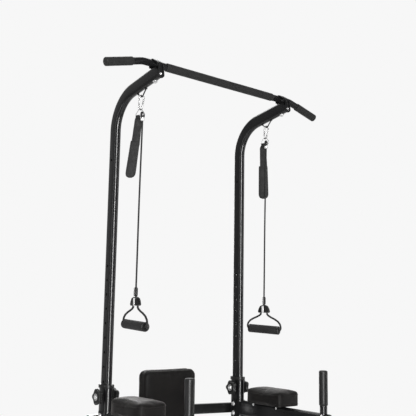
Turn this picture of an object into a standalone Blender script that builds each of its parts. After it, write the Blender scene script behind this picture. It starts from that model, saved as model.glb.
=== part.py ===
"""Height-adjustable power tower with a pull-up bar, dip handles, arm pads and hanging
elastic cords, one named object for each piece. Metres, +Z up, the user faces +Y."""
import math

import bmesh
import bpy
from mathutils import Matrix, Vector

# Driving dimensions
POST_X = 0.302                    # half the distance between the two posts
POST_Y = 0.150
FIT = 0.0003                      # gap between neighbouring pieces
RAIL = 0.050                      # floor rail's square section
RAIL_HALF = 0.545
RAIL_Z = 0.033                    # floor rail's centre height
POST = (0.032, 0.062)             # post's flat-oval section
POST_WALL = 0.0025
POST_TOP = 1.1362
UPRIGHT = (0.025, 0.050)          # sliding upright's flat-oval section
UPRIGHT_WALL = 0.002
UPRIGHT_FOOT = 0.700
BEND_Z = 2.044                    # where the upright starts to curve forward
BEND_R = 0.130
BEND = math.radians(80.7)
ARM_TIP_Y = -0.127
HOLE_PITCH = 0.050
KNOB_Z = 1.100
BAR_Y, BAR_Z, BAR_R = -0.093, 2.233, 0.0124
BAR_STRAIGHT = 0.351              # half the bar's level part
BAR_TIP_X = 0.497
BAR_DROP = math.radians(15.2)
FOAM_R = 0.015
CROSS = (0.025, 0.038)            # crossbar's depth and height
CROSS_Z = 1.0165
CROSS_BEND = math.radians(14.0)
DIP = (0.030, 0.060)              # dip arm's flat-oval section
DIP_Z = 1.023
DIP_TIP_Y = -0.340
HANDLE = (0.292, -0.314)          # dip handle's axis
HANDLE_R = 0.013
PAD = (0.107, 0.190)              # arm pad's width and length
PAD_Z = (1.0566, 1.111)
PAD_Y = (-0.146, 0.044)
BACK_W, BACK_Y, BACK_Z = 0.242, (0.180, 0.230), (0.830, 1.180)
HANG_X = 0.300
APEX = (-0.017, 2.1396)           # carabiner's pivot on the hanger loop, Y and Z
CARABINER_TILT = math.radians(10)
CARABINER = (0.0170, 0.0105, 0.0501)   # centreline's top and bottom widths, and height
CARABINER_YAW = math.radians(-15)
RING = (0.035, 0.0265)            # ring's centreline width and height
RING_YAW = math.radians(-70)
RING_WIRE = 0.0014
CORD_R = 0.003
FERRULE_Z = 2.0485                # underside of the ferrule under the cord's loop
YOKE_R = 0.0075                    # half the stirrup yoke's thickness
HOOK_HEIGHT = 0.0315
HALF_GRIP, STIRRUP_GRIP_R = 0.065, 0.016
# What hangs on each side: the cord's place along the ring and its lower end, and the
# grip's height, yaw and pitch
HANGING = {
    "left": {"side": -1, "along": 0.0115, "foot": (-0.2983, -0.0146, 1.4730),
             "grip_z": 1.3463, "yaw": -90, "pitch": -3.8},
    "right": {"side": 1, "along": 0.0045, "foot": (0.2945, -0.0102, 1.4570),
              "grip_z": 1.3320, "yaw": -73, "pitch": -3.1},
}
SIDES = (("left", -1), ("right", 1))

FINISH = {                        # colour, roughness, metallic
    "frame": ((0.020, 0.020, 0.022), 0.38, 0.0),
    "foam": ((0.035, 0.035, 0.036), 0.90, 0.0),
    "leather": ((0.030, 0.028, 0.028), 0.45, 0.0),
    "rubber": ((0.020, 0.020, 0.020), 0.75, 0.0),
    "plastic": ((0.022, 0.022, 0.023), 0.50, 0.0),
    "steel": ((0.700, 0.700, 0.710), 0.25, 1.0),
    "webbing": ((0.018, 0.018, 0.019), 0.85, 0.0),
    "wood": ((0.300, 0.220, 0.140), 0.70, 0.0),
}


def clear_scene():
    """Empty the scene, so that nothing but the tower is in it."""
    for old in list(bpy.data.objects):
        bpy.data.objects.remove(old, do_unlink=True)


def add(name, bm, finish, origin=(0, 0, 0)):
    """Turn a bmesh in world coordinates into an object with its origin at origin."""
    bmesh.ops.recalc_face_normals(bm, faces=bm.faces)
    bmesh.ops.translate(bm, verts=bm.verts, vec=-Vector(origin))
    mesh = bpy.data.meshes.new(name)
    bm.to_mesh(mesh)
    bm.free()
    obj = bpy.data.objects.new(name, mesh)
    obj.location = origin
    bpy.context.collection.objects.link(obj)
    obj.data.materials.append(material(name, finish))
    return obj


def material(name, finish):
    """One Principled material for the piece called name."""
    colour, roughness, metallic = FINISH[finish]
    mat = bpy.data.materials.new(name + "_" + finish)
    mat.use_nodes = True
    shader = mat.node_tree.nodes["Principled BSDF"]
    shader.inputs["Base Color"].default_value = (*colour, 1)
    shader.inputs["Roughness"].default_value = roughness
    shader.inputs["Metallic"].default_value = metallic
    return mat


def combine(obj, tool, operation):
    """Join tool to obj, or cut it out, and drop the tool."""
    step = obj.modifiers.new(operation.lower(), "BOOLEAN")
    step.operation, step.object, step.solver = operation, tool, "EXACT"
    bpy.context.view_layer.update()
    result = bpy.data.meshes.new_from_object(obj.evaluated_get(bpy.context.evaluated_depsgraph_get()))
    obj.modifiers.clear()
    obj.data = result
    bpy.data.objects.remove(tool, do_unlink=True)
    return obj


def oval(width, length, steps=6):
    """Flat oval in its own plane: width across, length along, with half-round ends."""
    r, half = width / 2, (length - width) / 2
    points = []
    for end in (1, -1):
        for i in range(steps + 1):
            a = math.pi * i / steps
            points.append((r * math.cos(a) * end, (half + r * math.sin(a)) * end))
    return points


def circle(radius, steps=16):
    """Round outline of a given radius."""
    turns = [2 * math.pi * i / steps for i in range(steps)]
    return [(radius * math.cos(a), radius * math.sin(a)) for a in turns]


def rounded(width, length, radius, steps=3):
    """Rectangle with rounded corners."""
    points = []
    for k, (sx, sy) in enumerate(((1, 1), (-1, 1), (-1, -1), (1, -1))):
        cx, cy = sx * (width / 2 - radius), sy * (length / 2 - radius)
        for i in range(steps + 1):
            a = math.pi / 2 * (k + i / steps)
            points.append((cx + radius * math.cos(a), cy + radius * math.sin(a)))
    return points


def sweep(bm, outline, path, across, inner=None, closed=False):
    """Carry an outline along a path. Its first axis stays along across as far as it can.
    With inner, the result is an open-ended tube; with closed, the path is a loop."""
    path = [Vector(p) for p in path]
    count = len(path)
    across = Vector(across)
    rings = {"outer": [], "inner": []}
    for i, point in enumerate(path):
        before = path[i - 1] if i > 0 or closed else point
        after = path[(i + 1) % count] if i < count - 1 or closed else point
        if before == point or after == point:
            along, stretch = (after - before).normalized(), 1
        else:
            a, b = (point - before).normalized(), (after - point).normalized()
            along = (a + b).normalized()
            stretch = 1 / max(0.5, along.dot(b))
        first = (across - along * across.dot(along)).normalized()
        second = along.cross(first)
        # a mitre widens the section only in the plane of the bend
        flat = abs(across.dot(along)) < 1e-6
        s1, s2 = (1, stretch) if flat else (stretch, 1)
        for kind, shape in (("outer", outline), ("inner", inner)):
            if shape:
                ring = [bm.verts.new(point + first * u * s1 + second * v * s2) for u, v in shape]
                rings[kind].append(ring)
    for kind in ("outer", "inner"):
        set_of = rings[kind]
        for i in range(len(set_of) if closed else max(0, len(set_of) - 1)):
            skin(bm, set_of[i], set_of[(i + 1) % len(set_of)])
    if closed:
        return
    if inner:
        skin(bm, rings["outer"][0], rings["inner"][0])
        skin(bm, rings["outer"][-1], rings["inner"][-1])
    else:
        bm.faces.new(rings["outer"][0])
        bm.faces.new(rings["outer"][-1])


def skin(bm, ring, other):
    """Quads between two rings with the same number of points."""
    for i in range(len(ring)):
        j = (i + 1) % len(ring)
        bm.faces.new((ring[i], ring[j], other[j], other[i]))


def tube(name, section, path, across, wall, finish, shape=oval):
    """Open-ended tube along a path."""
    bm = bmesh.new()
    if shape is circle:
        sweep(bm, circle(section), path, across, circle(section - wall))
    else:
        inner = shape(section[0] - 2 * wall, section[1] - 2 * wall)
        sweep(bm, shape(*section), path, across, inner)
    return add(name, bm, finish)


def rod(name, radius, path, finish, steps=12, across=(1, 0, 0), closed=False, origin=(0, 0, 0)):
    """Solid round rod along a path."""
    bm = bmesh.new()
    sweep(bm, circle(radius, steps), path, across, closed=closed)
    return add(name, bm, finish, origin)


def turned(name, profile, base, axis, finish, steps=24):
    """Solid of revolution. profile lists (radius, height) from the axis out and back to
    the axis, or round a ring, with heights along axis from base."""
    bm = bmesh.new()
    turn = Vector((0, 0, 1)).rotation_difference(Vector(axis).normalized()).to_matrix()
    rings = []
    for radius, height in profile:
        if radius == 0:
            rings.append([bm.verts.new(turn @ Vector((0, 0, height)))])
            continue
        spots = [Vector((u, v, height)) for u, v in circle(radius, steps)]
        rings.append([bm.verts.new(turn @ spot) for spot in spots])
    whole_ring = profile[0][0] > 0
    for i in range(len(rings) if whole_ring else len(rings) - 1):
        a, b = rings[i], rings[(i + 1) % len(rings)]
        if len(a) > 1 and len(b) > 1:
            skin(bm, a, b)
            continue
        fan, tip = (a, b[0]) if len(a) > 1 else (b, a[0])
        for k in range(steps):
            bm.faces.new((fan[k], fan[(k + 1) % steps], tip))
    bmesh.ops.translate(bm, verts=bm.verts, vec=base)
    return add(name, bm, finish, base)


def block(name, low, high, finish, radius=0.0, steps=2, edges="all"):
    """Box between two corners, with its edges rounded, all of them or those along one axis."""
    bm = bmesh.new()
    low, high = Vector(low), Vector(high)
    size, centre = high - low, (low + high) / 2
    bmesh.ops.create_cube(bm, size=1, matrix=Matrix.Translation(centre) @ Matrix.Diagonal((*size, 1)))
    chosen = list(bm.edges)
    if edges != "all":
        way = "XYZ".index(edges)
        chosen = [e for e in bm.edges if abs((e.verts[0].co - e.verts[1].co)[way]) > 1e-6]
    if radius:
        bmesh.ops.bevel(bm, geom=chosen, offset=radius, segments=steps, profile=0.5, affect="EDGES")
    return add(name, bm, finish)


def holes(spots, radius, length, axis):
    """Cutter made of several pins, each centred on its spot."""
    bm = bmesh.new()
    corner = radius / math.cos(math.pi / 12)
    across = (0, 0, 1) if axis != "Z" else (1, 0, 0)
    step = Vector([float(axis == c) for c in "XYZ"]) * length / 2
    for spot in spots:
        sweep(bm, circle(corner, 12), [Vector(spot) - step, Vector(spot) + step], across)
    return add("cutter", bm, "steel")


def arc(centre, radius, start, end, steps):
    """Points on an arc in a plane, from start to end in radians."""
    turns = [start + (end - start) * i / steps for i in range(steps + 1)]
    return [(centre[0] + radius * math.cos(a), centre[1] + radius * math.sin(a)) for a in turns]


def base_rail(name, side):
    """Floor rail along Y, with open ends under the foot caps."""
    x = side * POST_X
    bm = bmesh.new()
    ends = [(x, -RAIL_HALF, RAIL_Z), (x, RAIL_HALF, RAIL_Z)]
    hollow = rounded(RAIL - 0.004, RAIL - 0.004, 0.004)
    sweep(bm, rounded(RAIL, RAIL, 0.006), ends, (1, 0, 0), hollow)
    return add("base_rail_" + name, bm, "frame")


def foot_cap(name, side, end):
    """Rubber cap over one end of a floor rail, which the tower stands on."""
    x, y = side * POST_X, end * RAIL_HALF
    half = RAIL / 2 + FIT
    cap = block("foot_cap_" + name, (x - half - 0.006, min(y + end * 0.005, y - end * 0.045), 0),
                (x + half + 0.006, max(y + end * 0.005, y - end * 0.045), RAIL_Z + half + 0.004),
                "rubber", 0.003)
    inner, outer = y - end * 0.06, y + end * FIT
    pocket = block("cutter", (x - half, min(inner, outer), RAIL_Z - half),
                   (x + half, max(inner, outer), RAIL_Z + half), "rubber")
    return combine(cap, pocket, "DIFFERENCE")


def floor_crossbar():
    """Rear tube between the two floor rails."""
    reach = POST_X - RAIL / 2 - FIT
    bm = bmesh.new()
    ends = [(-reach, 0.380, RAIL_Z), (reach, 0.380, RAIL_Z)]
    hollow = rounded(RAIL - 0.014, RAIL - 0.014, 0.004)
    sweep(bm, rounded(RAIL - 0.010, RAIL - 0.010, 0.006), ends, (0, 1, 0), hollow)
    return add("floor_crossbar", bm, "frame")


def post(name, side):
    """Outer post: a flat oval with holes for the lock knobs and a slit down its front."""
    x = side * POST_X
    foot = RAIL_Z + RAIL / 2 + FIT
    ends = [(x, POST_Y, foot), (x, POST_Y, POST_TOP)]
    obj = tube("post_" + name, POST, ends, (1, 0, 0), POST_WALL, "frame")
    combine(obj, holes([(x, POST_Y, KNOB_Z)], 0.0045, 0.060, "X"), "DIFFERENCE")
    slit = block("cutter", (x - 0.003, POST_Y - 0.050, 1.050),
                 (x + 0.003, POST_Y - 0.015, POST_TOP + 0.010), "frame")
    return combine(obj, slit, "DIFFERENCE")


def brace(name, side):
    """Sloping flat-oval tube from behind the post down to the floor rail, cut to meet both."""
    x = side * POST_X
    top, low = Vector((x, 0.160, 0.500)), Vector((x, 0.440, 0.040))
    obj = tube("brace_" + name, (0.025, 0.040), [top, low], (1, 0, 0), 0.002, "frame")
    ends = [(x, POST_Y, 0.300), (x, POST_Y, 0.700)]
    bm = bmesh.new()
    sweep(bm, oval(POST[0] + 2 * FIT, POST[1] + 2 * FIT), ends, (1, 0, 0))
    combine(obj, add("cutter", bm, "frame"), "DIFFERENCE")
    rail_top = RAIL_Z + RAIL / 2 + FIT
    floor = block("cutter", (x - 0.050, 0.300, -0.100), (x + 0.050, 0.600, rail_top), "frame")
    return combine(obj, floor, "DIFFERENCE")


def collar(name, side):
    """Cup-shaped guide on the post's top that the upright slides through."""
    x = side * POST_X
    top = POST_TOP + FIT + 0.0045
    bm = bmesh.new()
    span = [(x, POST_Y, top - 0.012), (x, POST_Y, top)]
    sweep(bm, oval(0.039, 0.069), span, (1, 0, 0))
    obj = add("collar_" + name, bm, "plastic")
    bm = bmesh.new()
    span = [(x, POST_Y, top - 0.020), (x, POST_Y, POST_TOP + FIT)]
    sweep(bm, oval(POST[0] + 2 * FIT, POST[1] + 2 * FIT), span, (1, 0, 0))
    combine(obj, add("cutter", bm, "plastic"), "DIFFERENCE")
    bm = bmesh.new()
    span = [(x, POST_Y, top - 0.020), (x, POST_Y, top + 0.010)]
    sweep(bm, oval(UPRIGHT[0] + 2 * FIT, UPRIGHT[1] + 2 * FIT), span, (1, 0, 0))
    return combine(obj, add("cutter", bm, "plastic"), "DIFFERENCE")


def crossbar_path():
    """Crossbar's centreline: it passes just behind the posts and bows back to its middle."""
    at_post = POST_Y + POST[1] / 2 - POST[0] / 2
    at_post += (POST[0] / 2 + FIT + CROSS[0] / 2) / math.cos(CROSS_BEND)
    reach, flat = 0.344, 0.045
    slope = math.tan(CROSS_BEND)
    middle = at_post + (POST_X - flat) * slope
    radius = 0.100
    trim = radius * math.tan(CROSS_BEND / 2)
    half = [(reach, at_post - (reach - POST_X) * slope)]
    centre = (flat - trim, middle - radius)
    bend = arc(centre, radius, math.pi / 2 - CROSS_BEND, math.pi / 2, 4)
    half += bend
    return [Vector((x, y, CROSS_Z)) for x, y in half + [(-x, y) for x, y in reversed(half)]]


def crossbar():
    """Bowed tube behind the posts, with the back pad's spacer welded to its front."""
    path = crossbar_path()
    bm = bmesh.new()
    hollow = rounded(CROSS[1] - 0.004, CROSS[0] - 0.004, 0.003)
    sweep(bm, rounded(CROSS[1], CROSS[0], 0.005), path, (0, 0, 1), hollow)
    obj = add("crossbar", bm, "frame")
    front = path[len(path) // 2].y - CROSS[0] / 2
    spacer = block("tool", (-0.040, BACK_Y[1] + 0.0106, CROSS_Z - 0.015),
                   (0.040, front + 0.001, CROSS_Z + 0.015), "frame")
    return combine(obj, spacer, "UNION")


def dip_point(y):
    """Dip arm's centre at a given Y: the arms lean a little towards each other."""
    share = (POST_Y - y) / (POST_Y - HANDLE[1])
    return POST_X + (HANDLE[0] - POST_X) * share


def dip_arm(name, side):
    """Forward arm with a saddle welded to its rear end, which hugs the post's front."""
    path = [(side * dip_point(y), y, DIP_Z) for y in (0.130, DIP_TIP_Y)]
    obj = tube("dip_arm_" + name, DIP, path, (1, 0, 0), 0.002, "frame")
    x = side * POST_X
    plate = 0.0035
    for size, low, high, job in ((plate, 0.985, 1.052, "UNION"), (0, 0.950, 1.100, "DIFFERENCE")):
        grow = 2 * (FIT + size)
        bm = bmesh.new()
        ends = [(x, POST_Y, low), (x, POST_Y, high)]
        sweep(bm, oval(POST[0] + grow, POST[1] + grow, 8), ends, (1, 0, 0))
        tool = add("tool", bm, "frame")
        if size:
            back = block("cutter", (x - 0.1, POST_Y + 0.014, 0.9), (x + 0.1, POST_Y + 0.2, 1.2), "frame")
            combine(tool, back, "DIFFERENCE")
        combine(obj, tool, job)
    spot = (side * HANDLE[0], HANDLE[1], DIP_Z + 0.020)
    return combine(obj, holes([spot], HANDLE_R + FIT, 0.040, "Z"), "DIFFERENCE")


def dip_handle(name, side):
    """Upright tube that drops into the dip arm's top."""
    x, y = side * HANDLE[0], HANDLE[1]
    path = [(x, y, DIP_Z + 0.004), (x, y, 1.188)]
    return tube("dip_handle_" + name, HANDLE_R, path, (1, 0, 0), 0.002, "frame", circle)


def dip_grip(name, side):
    """Foam sleeve with a closed, rounded top over the dip handle."""
    bore = HANDLE_R + FIT
    outer = FOAM_R + 0.0004
    profile = [(0, 0.1184), (0.010, 0.1180), (outer - 0.0018, 0.1160), (outer, 0.1130),
               (outer, 0.0020), (outer - 0.001, 0), (bore, 0), (bore, 0.1083), (0, 0.1083)]
    return turned("dip_grip_" + name, profile, (side * HANDLE[0], HANDLE[1], 1.080), (0, 0, 1), "foam")


def arm_pad(name, side):
    """Padded forearm rest, a plain crowned block."""
    return block("arm_pad_" + name, (side * HANG_X - PAD[0] / 2, PAD_Y[0], PAD_Z[0]),
                 (side * HANG_X + PAD[0] / 2, PAD_Y[1], PAD_Z[1]), "leather", 0.014, 4)


def arm_pad_plate(name, side):
    """Steel plate between the dip arm and its pad."""
    low = DIP_Z + DIP[1] / 2 + FIT
    return block("arm_pad_plate_" + name, (side * HANG_X - 0.036, PAD_Y[0] + 0.020, low),
                 (side * HANG_X + 0.036, PAD_Y[1] - 0.020, PAD_Z[0] - FIT), "frame", 0.006, 2, "Z")


def back_pad():
    """Padded backrest and the board behind it."""
    block("back_pad", (-BACK_W / 2, BACK_Y[0], BACK_Z[0]), (BACK_W / 2, BACK_Y[1], BACK_Z[1]),
          "leather", 0.015, 4)
    block("back_pad_board", (-0.060, BACK_Y[1] + FIT, BACK_Z[0] + 0.020),
          (0.060, BACK_Y[1] + 0.0103, BACK_Z[1] - 0.020), "wood", 0.012, 2, "Y")


def lock_knob(name, side, outward):
    """Five-lobed knob with its screw, which clamps the upright through the post's wall."""
    way = side * outward
    face = side * POST_X + way * (POST[0] / 2 + FIT)
    tip = side * POST_X + way * (UPRIGHT[0] / 2 + 0.0006)
    place = "outer" if outward > 0 else "inner"
    label = "lock_knob_" + place + "_" + name
    origin = (face, POST_Y, KNOB_Z)
    bm = bmesh.new()
    lobes = []
    for i in range(40):
        a = 2 * math.pi * i / 40
        r = 0.0255 + 0.0030 * math.cos(5 * a)
        lobes.append((r * math.cos(a), r * math.sin(a)))
    inside = [(0.86 * u, 0.86 * v) for u, v in lobes]
    stations = ((0.0105, inside), (0.0130, lobes), (0.0215, lobes), (0.0245, inside))
    rings = []
    for out, outline in stations:
        rings.append([bm.verts.new((face + way * out, POST_Y + u, KNOB_Z + v)) for u, v in outline])
    for a, b in zip(rings, rings[1:]):
        skin(bm, a, b)
    bm.faces.new(rings[0])
    bm.faces.new(rings[-1])
    knob = add(label, bm, "plastic", origin)
    for radius, start, end in ((0.010, 0, 0.012), (0.004, tip * way - face * way, 0.012)):
        bm = bmesh.new()
        ends = [(face + way * start, POST_Y, KNOB_Z), (face + way * end, POST_Y, KNOB_Z)]
        sweep(bm, circle(radius, 16), ends, (0, 0, 1))
        combine(knob, add("tool", bm, "plastic"), "UNION")
    return knob


def upright_path(x):
    """Upright's centreline, from inside the post, round the bend, to the arm's tip."""
    points = [(POST_Y, UPRIGHT_FOOT)]
    points += arc((POST_Y - BEND_R, BEND_Z), BEND_R, 0, BEND, 12)
    run = (points[-1][0] - ARM_TIP_Y) / math.sin(BEND)
    points.append((ARM_TIP_Y, points[-1][1] + run * math.cos(BEND)))
    return [Vector((x, y, z)) for y, z in points]


def underside(y):
    """Height of the arm's underside at a given Y."""
    y0, z0 = arc((POST_Y - BEND_R, BEND_Z), BEND_R, BEND, BEND, 1)[0]
    return z0 + (y0 - y) / math.tan(BEND) - UPRIGHT[1] / 2 / math.sin(BEND)


def upright(name, side):
    """Sliding upright with its height holes, and the hanger loop welded under its arm."""
    x = side * POST_X
    obj = tube("upright_" + name, UPRIGHT, upright_path(x), (1, 0, 0), UPRIGHT_WALL, "frame")
    front, rear, low = -0.043, 0.0085, APEX[1] - 0.0046
    legs = [(front, underside(front) + 0.0010), (front + 0.002, underside(front) - 0.004)]
    legs += arc((APEX[0], low + 0.008), 0.008, math.radians(225), math.radians(315), 5)
    legs += [(rear - 0.002, underside(rear) - 0.004), (rear, underside(rear) + 0.0010)]
    loop = rod("tool", 0.0023, [(side * HANG_X, y, z) for y, z in legs], "frame", 10)
    combine(obj, loop, "UNION")
    spots = [(x, POST_Y, KNOB_Z + HOLE_PITCH * i) for i in range(-4, 10)]
    spots.append((x, POST_Y, 1.934))
    return combine(obj, holes(spots, 0.0045, 0.060, "X"), "DIFFERENCE")


def bar_end(inset=0.0):
    """X and Z on the bar's axis, short of its tip by inset."""
    x = BAR_TIP_X - inset * math.cos(BAR_DROP)
    return x, BAR_Z - (x - BAR_STRAIGHT) * math.tan(BAR_DROP)


def bar_path(inset=0.0):
    """Pull-up bar's centreline, short of its tips by inset."""
    radius = 0.080
    trim = radius * math.tan(BAR_DROP / 2)
    centre = (BAR_STRAIGHT - trim, BAR_Z - radius)
    bend = arc(centre, radius, math.pi / 2, math.pi / 2 - BAR_DROP, 4)
    half = bend + [bar_end(inset)]
    path = [(-x, z) for x, z in reversed(half)] + half
    return [Vector((x, BAR_Y, z)) for x, z in path]


def pull_up_bar():
    """Steel tube bent down a little at both ends."""
    return tube("pull_up_bar", BAR_R, bar_path(0.008), (0, 1, 0), 0.002, "frame", circle)


def bar_grip_centre():
    """Foam sleeve on the bar's middle."""
    bm = bmesh.new()
    ends = [(-0.254, BAR_Y, BAR_Z), (0.254, BAR_Y, BAR_Z)]
    sweep(bm, circle(FOAM_R, 20), ends, (0, 1, 0), circle(BAR_R + FIT, 20))
    return add("bar_grip_centre", bm, "foam")


def bar_grip(name, side):
    """Foam sleeve with a closed end on one end of the bar."""
    way = Vector((side * math.cos(BAR_DROP), 0, -math.sin(BAR_DROP)))
    x, z = bar_end()
    tip = Vector((side * x, BAR_Y, z))
    length = (x - 0.391) / math.cos(BAR_DROP)
    bore = BAR_R + FIT
    profile = [(0, length), (0.010, length), (FOAM_R - 0.002, length - 0.001),
               (FOAM_R, length - 0.004), (FOAM_R, 0.001), (FOAM_R - 0.001, 0), (bore, 0),
               (bore, length - 0.0077), (0, length - 0.0077)]
    return turned("bar_grip_" + name, profile, tip - way * length, way, "foam")


def bar_clamp(name, side):
    """Plate over the arm's end that carries on over the bar and down to the arm's top."""
    x = side * POST_X
    tip = upright_path(x)[-1]
    way = Vector((0, -math.sin(BEND), math.cos(BEND)))
    up = Vector((0, math.cos(BEND), math.sin(BEND)))
    bar = Vector((x, BAR_Y, BAR_Z)) - tip
    centre = (bar.dot(way), bar.dot(up))
    inner, outer = BAR_R + FIT, BAR_R + FIT + 0.0035
    gap = math.hypot(0.0080 - centre[0], 0.028 - centre[1])
    lean = math.atan2(0.028 - centre[1], 0.0080 - centre[0]) + math.acos(outer / gap)
    crest = UPRIGHT[1] / 2 + FIT
    outline = [(0.0080, 0.0), (0.0080, 0.028)]
    outline += arc(centre, outer, lean, math.pi, 8)
    outline += [(centre[0] - outer, crest), (centre[0] - inner, crest)]
    outline += arc(centre, inner, math.pi, lean, 8)
    outline += [(FIT, crest + 0.001), (FIT, 0.0)]
    bm = bmesh.new()
    rings = []
    for offset in (-0.013, 0.013):
        spots = [tip + way * u + up * w + Vector((offset, 0, 0)) for u, w in outline]
        rings.append([bm.verts.new(spot) for spot in spots])
    skin(bm, *rings)
    bm.faces.new(rings[0])
    bm.faces.new(rings[1])
    strap = add("bar_clamp_" + name, bm, "frame")
    bm = bmesh.new()
    span = [tip + way * FIT, tip + way * 0.0080]
    sweep(bm, oval(0.026, 0.0565, 8), span, (1, 0, 0))
    return combine(strap, add("tool", bm, "frame"), "UNION")


def tilted(x, u, w):
    """A point on the tilted carabiner: u across it, w down from the pivot."""
    y = APEX[0] + w * math.sin(CARABINER_TILT) + u * math.sin(CARABINER_YAW)
    return Vector((x + u * math.cos(CARABINER_YAW), y, APEX[1] - w * math.cos(CARABINER_TILT)))


def carabiner(name, side):
    """C-shaped, tapering body of the spring hook and the straight gate that closes it."""
    x = side * HANG_X
    wide, narrow, height = CARABINER
    wide, narrow = wide / 2, narrow / 2
    lean = math.asin((wide - narrow) / (height - wide - narrow))
    top = arc((0, wide), wide, -lean, -math.pi + lean, 8)
    low = arc((0, height - narrow), narrow, -math.pi - lean, -2 * math.pi + lean, 8)
    ends = top[0], low[-1]
    run = Vector(ends[1]) - Vector(ends[0])
    gap = [Vector(ends[0]) + run * share for share in (0.10, 0.1105, 0.875, 0.90)]
    shape = [gap[0], *top, *low, gap[3]]
    points = [tilted(x, side * u, w) for u, w in shape]
    pivot = tilted(x, 0, 0)
    normal = (tilted(x, 1, 0) - pivot).cross(tilted(x, 0, 1) - pivot)
    rod("carabiner_" + name, 0.0021, points, "steel", 10, normal, origin=pivot)
    gate = [tilted(x, side * u, w) for u, w in gap[1:3]]
    rod("carabiner_gate_" + name, 0.0018, gate, "steel", 10, normal, origin=gate[1])


def ring_top():
    """Y and Z of the ring's wire where it rests in the carabiner."""
    low = tilted(0, 0, CARABINER[2])
    return low.y, low.z + 0.0021 + 0.0008 + RING_WIRE


def ring_point(side, t, w):
    """A point in the ring's plane: t along it, w down from its top wire."""
    y, z = ring_top()
    return Vector((side * HANG_X + t * math.cos(RING_YAW), y + t * math.sin(RING_YAW), z - w))


def ring(name, side):
    """Rounded triangle of wire with its flat side down, which the cord and strap hang on."""
    corner, top = 0.0065, 0.0060
    reach = RING[0] / 2 - corner
    low = RING[1] - corner
    rise = Vector((reach, low - top))
    lean = math.atan2(rise.x, rise.y) + math.asin((corner - top) / rise.length)
    outline = arc((0, top), top, -math.pi + lean, -lean, 6)
    outline += arc((reach, low), corner, -lean, math.pi / 2, 6)
    outline += arc((-reach, low), corner, math.pi / 2, math.pi + lean, 6)
    path = [ring_point(side, t, w) for t, w in outline]
    across = ring_point(side, 1, 0) - ring_point(side, 0, 0)
    normal = across.cross(Vector((0, 0, 1)))
    return rod("ring_" + name, RING_WIRE, path, "steel", 8, normal, closed=True,
               origin=ring_point(side, 0, 0))


def cord_top(facts):
    """Where the cord's centreline leaves its ferrule."""
    spot = ring_point(facts["side"], facts["along"], RING[1])
    return Vector((spot.x, spot.y, FERRULE_Z - FIT))


def cord_loop(name, side, along):
    """Loop of the cord round the ring's lower wire, closed by a crimped ferrule."""
    hold = ring_point(side, along, RING[1])
    radius, wire = 0.0052, 0.0020
    across = Vector((math.sin(-RING_YAW), math.cos(RING_YAW), 0))
    centre = hold - Vector((0, 0, 0.0011))
    turn = [centre + across * u + Vector((0, 0, w)) for u, w in arc((0, 0), radius, 0, math.pi, 8)]
    foot = Vector((hold.x, hold.y, FERRULE_Z + 0.0085))
    path = [foot + across * 0.0018, *turn, foot - across * 0.0018]
    rope = rod("cord_loop_" + name, wire, path, "rubber", 8, Vector((0, 0, 1)).cross(across), origin=hold)
    profile = [(0, 0), (0.0038, 0), (0.0046, 0.001), (0.0046, 0.009), (0.0038, 0.010), (0, 0.010)]
    crimp = turned("tool", profile, foot - Vector((0, 0, 0.0085)), (0, 0, 1), "steel", 12)
    return combine(rope, crimp, "UNION")


def cord_route(facts):
    """The elastic cord's centreline: nearly plumb, with the faint set of a coiled cord."""
    count = 40
    top, foot = cord_top(facts), Vector(facts["foot"])
    points = []
    for i in range(count):
        t = i / (count - 1)
        bow = Vector((0, 0.0015 * math.sin(math.pi * t) ** 2, 0))
        points.append(top.lerp(foot, t) + bow)
    return points


def elastic_cord(name, facts):
    """Free hanging cord as a bevelled curve."""
    route = cord_route(facts)
    origin = ring_point(facts["side"], facts["along"], RING[1])
    curve = bpy.data.curves.new("elastic_cord_" + name, "CURVE")
    curve.dimensions = "3D"
    curve.bevel_depth, curve.bevel_resolution, curve.use_fill_caps = CORD_R, 2, True
    spline = curve.splines.new("POLY")
    spline.points.add(len(route) - 1)
    for point, spot in zip(spline.points, route):
        point.co = (*(spot - origin), 1)
    obj = bpy.data.objects.new("elastic_cord_" + name, curve)
    obj.location = origin
    bpy.context.collection.objects.link(obj)
    curve.materials.append(material("elastic_cord_" + name, "rubber"))


def hand_strap(name, side):
    """Webbing strap from the ring down into a padded sleeve, sewn into one piece."""
    hold = ring_point(side, -0.0085, RING[1])
    top = hold - Vector((0, 0, 0.0034))
    low = 1.850
    drift, facing = ((-0.0150, -38) if side < 0 else (0.0040, -65))
    # how far down, how far back, width, thickness
    stations = ((0.0, 0.0, 0.014, 0.0018), (0.10, 0.0035, 0.024, 0.0022), (0.42, 0.0085, 0.028, 0.0030),
                (0.45, 0.0090, 0.031, 0.0090), (0.72, 0.0110, 0.033, 0.0110), (0.92, 0.0130, 0.034, 0.0100),
                (0.98, 0.0135, 0.027, 0.0080), (1.00, 0.0135, 0.016, 0.0050))
    turn = Matrix.Rotation(math.radians(facing), 3, "Z")
    bm = bmesh.new()
    rings = []
    for t, back, width, thick in stations:
        centre = top + Vector((drift * max(0, t - 0.1), back, (low - top.z) * t))
        shape = rounded(width, thick, thick * 0.42, 3)
        rings.append([bm.verts.new(centre + turn @ Vector((u, v, 0))) for u, v in shape])
    for a, b in zip(rings, rings[1:]):
        skin(bm, a, b)
    bm.faces.new(rings[0])
    bm.faces.new(rings[-1])
    strap = add("hand_strap_" + name, bm, "webbing", hold)
    along = (ring_point(side, 1, 0) - ring_point(side, 0, 0)).normalized()
    across = along.cross(Vector((0, 0, 1)))
    sewn = [hold + across * u + Vector((0, 0, w)) for u, w in arc((0, 0), 0.0036, 0, 2 * math.pi, 12)[:-1]]
    bm = bmesh.new()
    sweep(bm, rounded(0.0060, 0.0014, 0.0005, 1), sewn, along, closed=True)
    return combine(strap, add("tool", bm, "webbing"), "UNION")


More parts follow.
